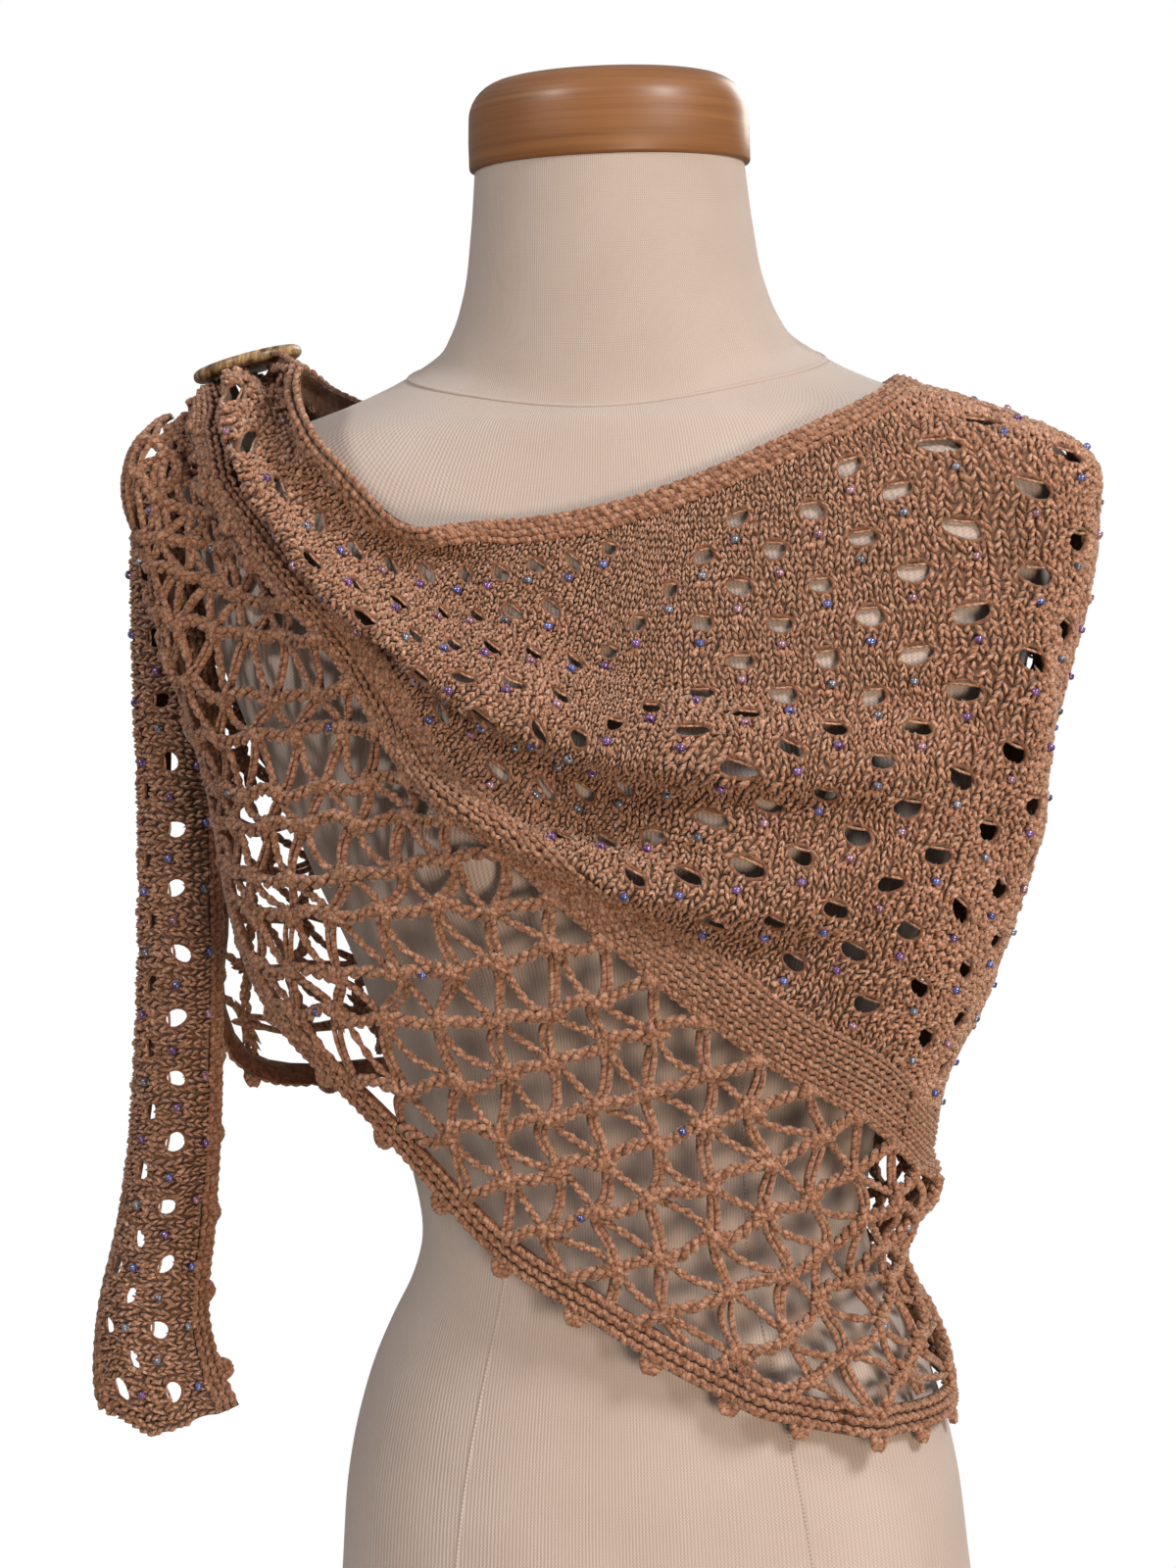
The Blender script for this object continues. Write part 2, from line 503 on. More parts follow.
def tail_cloth(shares):
    """The hanging end: a strip of even flat width, curled about its middle line. The shares are its
    levels' places across it."""
    u = np.linspace(0, 1, TAIL_STEPS + 1)[:, None]
    level = np.linspace(0, 3, 91)[None, :]
    v = np.interp(level, (0, 1, 2, 3), shares)
    rows = np.arange(len(TAIL), dtype=float)
    x, y, z, chord, curl = (through(rows, TAIL[:, k], u * (len(TAIL) - 1)) for k in range(5))
    chord, curl = np.radians(chord), np.radians(curl)
    radius = TAIL_WIDTH / curl
    angle = (v - 0.5) * curl
    depth = radius * (np.cos(angle) - 0.5 * np.cos(curl / 2) - 0.5)
    side = radius * np.sin(angle)
    point_up = 10 * (np.abs(2 * v - 0.9) - 0.5) * np.clip(1 - u / 0.1, 0, 1)
    return Cloth(np.stack([x - depth * np.sin(chord) + side * np.cos(chord),
                           y - depth * np.cos(chord) - side * np.sin(chord),
                           WAIST_HEIGHT + z + point_up], axis=-1), 1.0)


def in_scene(name, data):
    """A new object of the scene."""
    thing = bpy.data.objects.new(name, data)
    bpy.context.scene.collection.objects.link(thing)
    return thing


class Part:
    """Gathers points and faces of one joined mesh, in millimetres."""

    def __init__(self):
        self.points = []
        self.quads = []
        self.tris = []
        self.quad_uvs = []
        self.tri_uvs = []
        self.count = 0

    def add(self, points, quads=None, tris=None, quad_uvs=None, tri_uvs=None):
        """Adds faces. Their UVs, where given, are by face corner, so that strands need no open seam."""
        points = np.asarray(points, float).reshape(-1, 3)
        for faces, uvs, corners, all_faces, all_uvs in (
                (quads, quad_uvs, 4, self.quads, self.quad_uvs), (tris, tri_uvs, 3, self.tris, self.tri_uvs)):
            if faces is not None and len(faces):
                faces = np.asarray(faces).reshape(-1, corners)
                all_faces.append(faces + self.count)
                all_uvs.append(np.zeros((faces.size, 2)) if uvs is None else np.reshape(uvs, (-1, 2)))
        self.points.append(points)
        self.count += len(points)

    def triangles(self):
        return 2 * sum(len(q) for q in self.quads) + sum(len(t) for t in self.tris)

    def build(self, name, materials, slot, nodes=()):
        """Makes the piece, which replaces the given nodes."""
        quads = np.concatenate(self.quads) if self.quads else np.zeros((0, 4), int)
        tris = np.concatenate(self.tris) if self.tris else np.zeros((0, 3), int)
        points = (np.concatenate(self.points) + ORIGIN) / 1000
        corners = np.concatenate([quads.ravel(), tris.ravel()]).astype(np.int32)
        sizes = np.concatenate([np.full(len(quads), 4), np.full(len(tris), 3)])
        mesh = bpy.data.meshes.new(name)
        mesh.vertices.add(len(points))
        mesh.vertices.foreach_set("co", points.ravel())
        mesh.loops.add(len(corners))
        mesh.loops.foreach_set("vertex_index", corners)
        mesh.polygons.add(len(sizes))
        mesh.polygons.foreach_set("loop_start", np.concatenate([[0], np.cumsum(sizes)[:-1]]).astype(np.int32))
        mesh.update(calc_edges=True)
        mesh.polygons.foreach_set("use_smooth", np.ones(len(sizes), bool))
        layer = mesh.uv_layers.new(name="UVMap")
        uvs = np.concatenate(self.quad_uvs + self.tri_uvs)
        layer.data.foreach_set("uv", uvs.ravel().astype(np.float32))
        for material in materials:
            mesh.materials.append(material)
        piece = in_scene(name, mesh)
        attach(piece, "root")
        if nodes:
            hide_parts(*nodes)
        print(f"{name}: {self.triangles()} triangles")
        return piece


def around(normals, tangents):
    """Directions beside and over strands that run along the tangents."""
    side = unit(np.cross(tangents, normals))
    return side, np.cross(side, tangents)


def strand(part, centres, normals, radii, sides=4, pointed=True):
    """Closed strands along rows of centres. Pointed ones run out at both ends, others end flat."""
    count, steps, _ = centres.shape
    side, up = around(normals, unit(np.gradient(centres, axis=1)))
    first = 1 if pointed else 0
    last = steps - 1 if pointed else steps
    rings = last - first
    angle = 2 * np.pi * np.arange(sides) / sides + np.pi / 2
    radii = np.broadcast_to(radii, (count, steps))[:, first:last, None, None]
    side, up = side[:, first:last, None], up[:, first:last, None]
    ring = centres[:, first:last, None] + radii * (
        np.cos(angle)[:, None] * side + np.sin(angle)[:, None] * up)
    points = np.concatenate([centres[:, :1], ring.reshape(count, rings * sides, 3), centres[:, -1:]], axis=1)
    k = np.arange(sides)
    after = (k + 1) % sides
    end = 1 + rings * sides
    foot = end - sides
    tris = np.concatenate([np.stack([0 * k, 1 + k, 1 + after], axis=1),
                           np.stack([0 * k + end, foot + after, foot + k], axis=1)])
    low = 1 + sides * np.arange(rings - 1)[:, None]
    high = low + sides
    quads = np.stack([low + k, high + k, high + after, low + after], axis=-1).reshape(-1, 4)
    ring_of = np.concatenate([[0], np.repeat(np.arange(first, last), sides), [steps - 1]])
    run = lengths_along(centres)
    start = rng.uniform(0, 1, (count, 1, 1))
    wind = np.tile(np.stack([k, k, k + 1, k + 1], axis=1) / sides, (rings - 1, 1))
    quad_uvs = np.stack([run[:, ring_of[quads]], wind[None] + start], axis=-1)
    wind = np.concatenate([np.stack([k + 0.5, k, k + 1], axis=1),
                           np.stack([k + 0.5, k + 1, k], axis=1)]) / sides
    tri_uvs = np.stack([run[:, ring_of[tris]], wind[None] + start], axis=-1)
    shift = (np.arange(count) * (end + 1))[:, None, None]
    part.add(points, quads[None] + shift, tris[None] + shift, quad_uvs, tri_uvs)


def loops(part, centres, normals, radius, sides=4):
    """Closed rings of yarn along rows of centres."""
    count, steps, _ = centres.shape
    tangent = unit(np.roll(centres, -1, axis=1) - np.roll(centres, 1, axis=1))
    side, up = around(normals, tangent)
    angle = 2 * np.pi * np.arange(sides) / sides
    points = centres[:, :, None] + radius * (
        np.cos(angle)[:, None] * side[:, :, None] + np.sin(angle)[:, None] * up[:, :, None])
    k = np.arange(sides)[None, :]
    after = (k + 1) % sides
    here = (np.arange(steps) * sides)[:, None]
    there = (((np.arange(steps) + 1) % steps) * sides)[:, None]
    quads = np.stack([here + k, there + k, there + after, here + after], axis=-1).reshape(-1, 4)
    part.add(points, quads[None] + (np.arange(count) * steps * sides)[:, None, None])


def rope(part, centres, normals, reach, radius, turns, sides=4):
    """Two plies twisted about each other along rows of centres."""
    tangent = unit(np.gradient(centres, axis=1))
    side, up = around(normals, tangent)
    phase = 2 * np.pi * turns[:, None] * np.linspace(0, 1, centres.shape[1])[None, :]
    phase = phase + rng.uniform(0, np.pi, len(centres))[:, None]
    for half in (0, np.pi):
        off = reach * (np.cos(phase + half)[..., None] * side + np.sin(phase + half)[..., None] * up)
        strand(part, centres + off, normals, radius, sides, pointed=False)


def thin_wall(part, points, normals, quads, half):
    """Closed wall on a net of quads, with side faces along every open edge."""
    count = len(points)
    pairs = np.concatenate([quads[:, [0, 1]], quads[:, [1, 2]], quads[:, [2, 3]], quads[:, [3, 0]]])
    key = np.sort(pairs, axis=1)
    key = key[:, 0] * count + key[:, 1]
    _, index, uses = np.unique(key, return_index=True, return_counts=True)
    rim = pairs[index[uses == 1]]
    both = np.concatenate([points + half * normals, points - half * normals])
    back = quads[:, ::-1] + count
    walls = np.stack([rim[:, 1], rim[:, 0], rim[:, 0] + count, rim[:, 1] + count], axis=1)
    used, places = np.unique(np.concatenate([quads, back, walls]), return_inverse=True)
    part.add(both[used], places.reshape(-1, 4))


def evened(values, reach=30):
    """Running mean of the values, softly weighted."""
    kernel = np.hanning(2 * reach + 1)
    kernel = kernel / kernel.sum()
    return np.convolve(np.pad(values, reach, mode="edge"), kernel, mode="valid")


def squared_lines(cloth, net, number, starts, rows, step):
    """s along lines that start at the garter band and cross the courses square. The net holds the
    unfolded cloth's places at each s and each share of its depth, and the number of courses there."""
    s_step = cloth.length / (len(net) - 1)
    levels = net.shape[1] - 1
    along = np.gradient(net, s_step, axis=0)
    across = np.gradient(net, 1 / levels, axis=1)
    table = np.linspace(0, cloth.length, len(net))
    growth = np.gradient(number, s_step) / number
    s = np.array(starts, float)
    lines = [s]
    for row in range(rows):
        here = np.interp(s, table, number)
        grow = np.interp(s, table, growth)
        share = np.clip(step * row / here, 0, 1)
        x, y = s / s_step, (1 - share) * levels
        run, fall = between(along, x, y), between(across, x, y)
        course = run + fall * (share * grow)[:, None]
        slope = -(fall * course).sum(axis=1) / np.maximum((run * course).sum(axis=1), 1.0)
        rate = -(slope / here) / np.maximum(1 - slope * share * grow, 0.3)
        pinned = smooth(s / 1.2) * smooth((cloth.length - s) / 1.2)
        s = np.clip(s + step * np.clip(rate, -0.2, 0.2) * pinned, 0, cloth.length)
        lines.append(s)
    moved = np.stack(lines, axis=1) - lines[0][:, None]
    ends = (smooth(lines[0] / 1.5) * smooth((cloth.length - lines[0]) / 1.5))[:, None]
    moved = np.stack([evened(column, 75) for column in moved.T], axis=1) * ends
    return np.maximum.accumulate(lines[0][:, None] + moved, axis=0)


def even_levels(cloth, s, levels):
    """Depth of the folded cloth along lines of s across it, and its levels at even shares of that."""
    steps = lengths_along(cloth.at(s, levels[None, :])[0])
    even = np.linspace(0, 1, len(levels))
    return steps[:, -1], np.stack([np.interp(even, row / row[-1], levels) for row in steps])


def divided(cloth, level, span, about):
    """Table of s and of lengths along one level, the stretch's first and last length there, and the
    number of equal pitches of about the given length between them, with their true length."""
    s_table, lengths = cloth.run(level)
    first, last = np.interp(span, s_table, lengths)
    number = max(int(round((last - first) / about)), 1)
    return s_table, lengths, first, last, number, (last - first) / number


class Knitting:
    """Stitch coordinates on a cloth: wale w counts along it, and course c up from the garter band.
    Courses are evenly spaced along the folded cloth, and the wales cross them square."""

    def __init__(self, cloth, plain, least_courses, repeat, first_hole, hole):
        self.cloth = cloth
        self.repeat = repeat
        self.first_hole = first_hole
        self.hole = hole
        self.s_table, lengths = cloth.run(1.0)
        self.wales = lengths / WALE
        depth, self.levels = even_levels(cloth, self.s_table[:, None], np.linspace(0, 1, LACE_LEVELS + 1))
        least = np.interp(self.s_table / cloth.length, *least_courses)
        self.courses = evened(np.maximum(depth / COURSE, least))
        net = plain.at(self.s_table[:, None], self.levels)[0]
        rows = 2 * int(self.courses.max()) + 12
        self.lines = squared_lines(cloth, net, self.courses, self.s_table, rows, 0.5)
        self.neck = cloth.edge_share(self.s_table, 0, 1, NECK_EDGING)

    def st(self, w, c):
        """s and t of a stitch place, a little uneven as worked by hand. Above the neck edge t is
        under 0, and in the band it is over 1."""
        w = w + 0.22 * np.sin(0.37 * w + 0.61 * c) + 0.14 * np.sin(1.1 * c - 0.53 * w)
        c = c + (0.3 * np.sin(0.41 * w - 0.23 * c) + 0.18 * np.sin(0.93 * w + 0.4 * c)) * (c > 0)
        x = np.interp(w, self.wales, np.arange(len(self.wales)))
        s = between(self.lines, x, 2 * np.maximum(c, 0))
        share = 1 - c / np.interp(s, self.s_table, self.courses)
        t = between(self.levels, s / self.s_table[1], np.clip(share, 0, 1) * LACE_LEVELS)
        return s, np.where(share < 0, share, np.where(np.asarray(c) < 0, 1 - np.asarray(c) / 4.0, t))

    def neck_share(self, s):
        """Share of the lace that the neck edging takes."""
        return np.interp(s, self.s_table, self.neck)

    def hole_offset(self, w, c):
        """Largest offset in stitches or courses from the nearest eyelet's middle, and that middle."""
        across, up = self.repeat
        best = None
        for half in (0, 0.5):
            mid_w = across * (np.round((w - self.first_hole[0]) / across - half) + half) + self.first_hole[0]
            mid_c = up * (np.round((c - self.first_hole[1]) / up - half) + half) + self.first_hole[1]
            found = (np.maximum(np.abs(w - mid_w), np.abs(c - mid_c)), mid_w, mid_c)
            best = found if best is None else [np.where(found[0] < best[0], new, old)
                                               for new, old in zip(found, best)]
        return best

    def is_hole(self, mid_w, mid_c):
        """Eyelets are kept clear of the garter band, the neck edging and the gathered ends. Half of
        them are left out where the wales are drawn together."""
        s, top = self.st(mid_w, mid_c + 2.4)
        clear = (s > 0.02 * self.cloth.length) & (s < 0.98 * self.cloth.length)
        near = self.cloth.at(*self.st(mid_w - 1, mid_c))[0]
        far = self.cloth.at(*self.st(mid_w + 1, mid_c))[0]
        narrow = np.linalg.norm(far - near, axis=-1) < CROWDED * WALE
        column = np.round(2 * (mid_w - self.first_hole[0]) / self.repeat[0])
        row = np.round(2 * (mid_c - self.first_hole[1]) / self.repeat[1])
        return (mid_c > 2.6) & (top > self.neck_share(s)) & clear & (~narrow | ((column - row) % 4 == 0))

    def spread(self, w, c):
        """Stitch places pushed aside by the eyelets, whose corners they would fill."""
        away, mid_w, mid_c = self.hole_offset(w, c)
        off_w, off_c = w - mid_w, c - mid_c
        push = away / np.maximum(np.hypot(off_w / self.hole[0], off_c / self.hole[1]), 1e-6)
        fade = smooth((away - 1) / 1.3)
        scale = np.where(self.is_hole(mid_w, mid_c), push * (1 - fade) + fade, 1.0)
        return mid_w + off_w * scale, mid_c + off_c * scale

    def place(self, w, c, height):
        """Points and normals at stitch places, at a height over the cloth."""
        point, normal = self.cloth.at(*self.st(*self.spread(w, c)))
        return point + normal * np.asarray(height)[..., None], normal

    def flat_place(self, w, c, height):
        """The same for yarn that lies at an eyelet and isn't pushed aside."""
        point, normal = self.cloth.at(*self.st(w, c))
        return point + normal * np.asarray(height)[..., None], normal

    def widths(self, w, c):
        """True widths of stitches whose lower left corners are given."""
        near = self.flat_place(w, c, 0 * w)[0]
        far = self.flat_place(w + 1, c, 0 * w)[0]
        return np.linalg.norm(far - near, axis=1)

    def cells(self, span, first_course):
        """Whole cells of a stretch as their lower left corners, without those in the eyelets."""
        w, c = grid_pairs(np.arange(np.floor(self.wales[-1])),
                          np.arange(first_course, np.ceil(self.courses.max()) + 1))
        mid, _ = self.st(w + 0.5, c + 0.5)
        away, mid_w, mid_c = self.hole_offset(w + 0.5, c + 0.5)
        open_cell = (away < 1) & self.is_hole(mid_w, mid_c)
        width = self.widths(w, c)
        inside = (mid >= span[0]) & ((mid < span[1]) | (span[1] == self.cloth.length))
        keep = inside & ~open_cell & (width > NARROWEST * WALE)
        return w[keep], c[keep]

    def holes(self, span):
        """Middles of the eyelets of a stretch, in stitches and courses."""
        found = []
        for half in (0, 0.5):
            w, c = grid_pairs(self.first_hole[0] + self.repeat[0] * (np.arange(-1, 90) + half),
                              self.first_hole[1] + self.repeat[1] * (np.arange(-1, 16) + half))
            s, _ = self.st(w, c)
            keep = (s >= span[0]) & (s < span[1]) & (w > 0) & (w < self.wales[-1]) & self.is_hole(w, c)
            found.append(np.stack([w[keep], c[keep]], axis=1))
        return np.concatenate(found)


def ground(knit, span, first_course=-4):
    """Thin wall behind the stitches, from the neck edge to the garter band's foot, with its eyelets."""
    w, c = knit.cells(span, first_course)
    corner_w = np.stack([w, w + 1, w + 1, w], axis=1)
    corner_c = np.stack([c, c, c + 1, c + 1], axis=1)
    keep = knit.st(corner_w, corner_c)[1].max(axis=1) > 0.002
    corner_w, corner_c = corner_w[keep], corner_c[keep]
    key = corner_w * 1000 + corner_c
    _, first, index = np.unique(key, return_index=True, return_inverse=True)
    s, t = knit.st(*knit.spread(corner_w.ravel()[first], corner_c.ravel()[first]))
    points, normals = knit.cloth.at(s, np.maximum(t, 0.0))
    part = Part()
    thin_wall(part, points, normals, index.reshape(-1, 4), 0.4)
    return part


def stitches(knit, span, rings):
    """Two legs for each stitch, as a V, with the bumps, rims and strands at the eyelets."""
    part = Part()
    w, c = knit.cells(span, 0)
    s, top = knit.st(w + 0.5, c + 0.9)
    keep = top > 0.55 * knit.neck_share(s)
    w, c = w[keep], c[keep]
    # A leg runs from the upper corner of its stitch down to the middle of its foot
    x = np.linspace(0, 1, rings + 2)
    across = 0.47 * x ** 1.1
    down = 1.28 - 1.5 * x
    rise = 0.5 + 1.0 * np.sin(np.pi * np.clip(x * 0.92 + 0.02, 0, 1))
    taper = np.sin(np.pi * np.clip(0.1 + 0.8 * x, 0, 1)) ** 0.5
    width = np.clip(knit.widths(w, c) / WALE, 0.55, 1.35)
    for mirrored in (False, True):
        lean = rng.normal(0, 0.06, (len(w), 1)) + rng.normal(0, 0.06, (len(w), 1)) * (2 * x[None, :] - 1)
        leg_w = w[:, None] + (1 - across if mirrored else across)[None, :] + lean
        leg_c = c[:, None] + down[None, :] + rng.normal(0, 0.1, (len(w), 1))
        height = rise[None, :] + rng.normal(0, 0.3, (len(w), 1))
        centres, normals = knit.place(leg_w, leg_c, height)
        radii = YARN * taper[None, :] * (width * rng.uniform(0.85, 1.15, len(w)))[:, None]
        strand(part, centres, normals, radii, sides=3)
    eyelet_yarn(part, knit, span)
    return part


def eyelet_yarn(part, knit, span):
    """Rim of each eyelet, the thin strand across its top and the small peak under its bead."""
    holes = knit.holes(span)
    turn = np.linspace(0, 2 * np.pi, 15)[:-1]
    w = holes[:, :1] + np.cos(turn)[None, :] * knit.hole[0] * 1.05
    c = holes[:, 1:] + np.sin(turn)[None, :] * knit.hole[1] * 1.05
    centres, normals = knit.flat_place(w, c, np.full(w.shape, 0.6))
    loops(part, centres, normals, RIM_RADIUS)
    x = np.linspace(-1, 1, 7)
    w = holes[:, :1] + 0.98 * knit.hole[0] * x[None, :]
    c = holes[:, 1:] + knit.hole[1] * (0.6 + 0.14 * x[None, :] ** 2)
    strand(part, *knit.flat_place(w, c, np.full(w.shape, 0.4)), THIN_RADIUS, pointed=False)
    x = np.linspace(0, 1, 5)
    for side in (-1, 1):
        w = holes[:, :1] + side * (0.05 + 0.62 * x[None, :])
        c = holes[:, 1:] - BEAD_DROP - 0.55 - 1.05 * x[None, :]
        height = np.broadcast_to(1.7 - 0.6 * x, w.shape)
        radii = PEAK_RADIUS * np.sin(np.pi * (0.12 + 0.76 * x))
        strand(part, *knit.place(w, c, height), radii[None, :])


def bumps(part, cloth, s, t, height, radius, unevenness, sides):
    """Plump strands at rows of places on a cloth, of slightly uneven thickness."""
    x = np.linspace(0, 1, BUMP_SAMPLES)
    point, normal = cloth.at(s, t)
    radii = radius * np.sin(np.pi * (0.13 + 0.74 * x)) ** 0.7
    radii = radii[None, :] * rng.uniform(*unevenness, len(s))[:, None]
    strand(part, point + normal * height[None, :, None], normal, radii, sides)


def garter(part, cloth, span, t_of, count, radius=GARTER_RADIUS):
    """Rows of interlocked purl bumps along the cloth. t_of gives a row's place at share x of the band."""
    level = 2 if t_of(0.0, 0.5) < 2.5 else 3
    s_table, lengths, first, last, number, pitch = divided(cloth, level, span, GARTER_PITCH)
    x = np.linspace(0, 1, BUMP_SAMPLES)
    height = 0.7 + 0.95 * np.sin(np.pi * x)
    for row in range(count):
        for half in (0, 1):
            middle = first + pitch * (np.arange(number) + 0.5 + 0.5 * half)
            middle = middle[middle < last] + rng.normal(0, 0.18, int((middle < last).sum()))
            bend = (0.085 if half else -0.085) * np.sin(np.pi * x)
            offset = (-0.05 if half else 0.17) / count * 5
            length = middle[:, None] + (x - 0.5)[None, :] * GARTER_LENGTH
            s = np.clip(np.interp(length, lengths, s_table), *span)
            share = (row + 0.42) / count + (offset + bend * 5)[None, :] / 5.0
            bumps(part, cloth, s, t_of(s, share), height, radius, (0.93, 1.08), 4)


def garter_band(cloth, span):
    part = Part()
    garter(part, cloth, span, lambda s, share: 1.0 + share + 0 * np.asarray(s), BAND_RIDGES)
    return part


def neck_edging(knit, span):
    """Chunky slip-stitch strands side by side along the neck edge."""
    part = Part()
    s_table, lengths, first, last, number, pitch = divided(knit.cloth, 0, span, SLIP_PITCH)
    x = np.linspace(0, 1, BUMP_SAMPLES)
    for row, share in enumerate((0.1, 0.38, 0.66, 0.94)):
        middle = first + pitch * (np.arange(number) + (0.5 if row % 2 else 0.1))
        middle = middle[(middle > first + 1) & (middle < last - 1)]
        length = middle[:, None] + (x - 0.5)[None, :] * SLIP_LENGTH
        s = np.clip(np.interp(length, lengths, s_table), *span)
        slant = (0.1 if row % 2 else -0.1) * (x - 0.5)
        t = np.maximum(knit.neck_share(s) * (share + slant)[None, :], 0)
        height = 0.9 + 0.9 * np.sin(np.pi * x) + (0.5 if row in (1, 2) else 0)
        bumps(part, knit.cloth, s, t, height, SLIP_RADIUS, (0.94, 1.07), 5)
    return part


class MeshLace:
    """Lattice coordinates on the open mesh: a counts cells along the cloth and b rows down it. Its
    lines leave the garter band square."""

    def __init__(self, cloth, plain, hem_width):
        self.cloth = cloth
        self.s_table, lengths = cloth.run(2)
        share = self.s_table / cloth.length
        dense = np.interp(share, *CELL_DENSITY)
        lengths = np.concatenate([[0], np.cumsum(np.diff(lengths) * 0.5 * (dense[1:] + dense[:-1]))])
        self.columns = lengths / MESH_ALONG
        t = np.linspace(2, 3, MESH_LEVELS + 1)
        net = plain.at(self.s_table[:, None], t[::-1][None, :])[0]
        even = np.full(len(self.s_table), float(MESH_LEVELS))
        self.lines = squared_lines(cloth, net, even, self.s_table, MESH_LEVELS, 1.0)
        depth, self.levels = even_levels(cloth, self.lines, t)
        self.rows = evened(np.maximum(depth / MESH_ACROSS, np.interp(share, *LEAST_ROWS)), 12)
        edge = cloth.edge_share(self.lines[:, -1], 3, -1, hem_width)
        self.foot = self.rows * (1 - edge)

    def st(self, a, b):
        """s and t of a lattice place, a little uneven as worked by hand."""
        uneven = np.clip(b, 0, 1)
        a = a + (0.09 * np.sin(2.9 * a + 1.9 * b) + 0.06 * np.sin(4.3 * b - 1.7 * a)) * uneven
        b = b + (0.11 * np.sin(3.7 * a + 1.3 * b) + 0.08 * np.sin(2.3 * a - 3.1 * b)) * uneven
        x = np.interp(a, self.columns, np.arange(len(self.columns)))
        rows = np.interp(a, self.columns, self.rows)
        x, share = np.broadcast_arrays(x, np.clip(b / rows, 0, 1))
        t = between(self.levels, x, share * MESH_LEVELS)
        return between(self.lines, x, (t - 2) * MESH_LEVELS), t

    def deep(self, a):
        """Rows from the garter band to the hem edging."""
        return np.interp(a, self.columns, self.foot)

    def at(self, a, b):
        return self.cloth.at(*self.st(a, b))

    def nodes(self, span):
        """Lattice nodes of a stretch, above the hem edging."""
        i, j = grid_pairs(np.arange(int(np.ceil(2 * self.columns[-1])) + 1),
                          np.arange(int(self.rows.max()) + 2))
        even = (i + j) % 2 == 0
        a, b = i[even] / 2.0, j[even] * 1.0
        s, _ = self.st(a, b)
        inside = (s >= span[0]) & ((s < span[1]) | (span[1] == self.cloth.length))
        keep = inside & (a <= self.columns[-1]) & (b <= self.deep(a))
        return a[keep], b[keep]

    def run(self, a, b, step_a, step_b, samples):
        """Centres along strands from the nodes by the given step, cut at the hem edging and ends."""
        x = np.linspace(0, 1, samples)[None, :]
        low, high = self.columns[0], self.columns[-1]
        cut = np.where(a + step_a > high, np.minimum((high - a) / max(step_a, 1e-9), 1.0), 1.0)
        for _ in range(6 if step_b > 0 else 0):
            room = self.deep(np.clip(a + cut * step_a, low, high)) + 0.15 - (b + cut * step_b)
            cut = np.where(room < 0, np.clip(cut + room / step_b, 0.0, 1.0), cut)
        keep = (cut > 0.15) & (b + step_b >= -0.01)
        line_a = a[keep, None] + x * cut[keep, None] * step_a
        line_b = b[keep, None] + x * cut[keep, None] * step_b
        return line_a, line_b, cut[keep]


def mesh_ropes(lattice, span):
    """Thick braided ropes that run down the mesh one way, and the slanting legs between them."""
    part = Part()
    a, b = lattice.nodes(span)
    line_a, line_b, cut = lattice.run(a, b, -0.5, 1.0, ROPE_SAMPLES)
    x = np.linspace(0, 1, ROPE_SAMPLES)[None, :]
    sway = 0.07 * np.sin(np.pi * x) * rng.uniform(-1, 1, (len(line_a), 1))
    point, normal = lattice.at(line_a + sway, line_b)
    lift = 1.0 + 0.9 * np.sin(np.pi * x)[..., None]
    rope(part, point + lift * normal, normal, ROPE_REACH, ROPE_PLY, ROPE_TURNS * cut)
    line_a, line_b, cut = lattice.run(a, b, 1.0, 0.0, LEG_SAMPLES)
    x = np.linspace(0, 1, LEG_SAMPLES)[None, :]
    sag = 0.14 * np.sin(np.pi * x) * rng.uniform(-0.4, 1.3, (len(line_a), 1))
    point, normal = lattice.at(line_a, line_b + sag * (line_b > 0.01))
    rope(part, point + 0.3 * normal, normal, LEG_REACH, LEG_PLY, LEG_TURNS * cut)
    return part


def mesh_strands(lattice, span):
    """Double strands of the mesh that cross its ropes, and the yarn wound about each knot."""
    part = Part()
    a, b = lattice.nodes(span)
    line_a, line_b, _ = lattice.run(a, b, 0.5, 1.0, DOUBLE_SAMPLES)
    x = np.linspace(0, 1, DOUBLE_SAMPLES)[None, :]
    bend = 0.09 * np.sin(np.pi * x) * rng.uniform(-1, 1, (len(line_a), 1))
    for side in (-1, 1):
        spread = bend + side * (0.035 + 0.02 * np.sin(np.pi * x)) * rng.uniform(0.8, 1.4, (len(line_a), 1))
        point, normal = lattice.at(line_a + spread, line_b)
        strand(part, point - 0.1 * normal, normal, DOUBLE_RADIUS, pointed=False)
    x = np.linspace(-1, 1, 7)[None, :]
    for step_a, step_b, height in KNOT_WRAPS:
        jitter = rng.normal(0, 0.025, (len(a), 1))
        bow = height + 0.9 * (1 - x ** 2)
        point, normal = lattice.at(
            a[:, None] + step_a * x + jitter, np.maximum(b[:, None] + step_b * x - 2 * jitter, 0))
        radii = KNOT_RADIUS * np.cos(0.5 * np.pi * 0.8 * x) ** 0.6
        strand(part, point + normal * bow[..., None], normal, radii)
    bunched_mesh(part, lattice.cloth, span)
    return part


def bunched_mesh(part, cloth, span):
    """The mesh drawn together at the button, as uneven rows of bumps that run out into its ropes."""
    rows = len(BUNCH_REACHES)
    for row, reach in enumerate(BUNCH_REACHES):
        low, high = 2 + (row + 0.1) / rows, 2 + (row + 0.9) / rows

        def level(s, share):
            return low + (high - low) * share + 0 * np.asarray(s)

        if span[0] == 0:
            garter(part, cloth, (0.0, reach), level, 1, HEM_RADIUS)
        if span[1] == cloth.length:
            garter(part, cloth, (cloth.length - 0.8 * reach, cloth.length), level, 1, HEM_RADIUS)


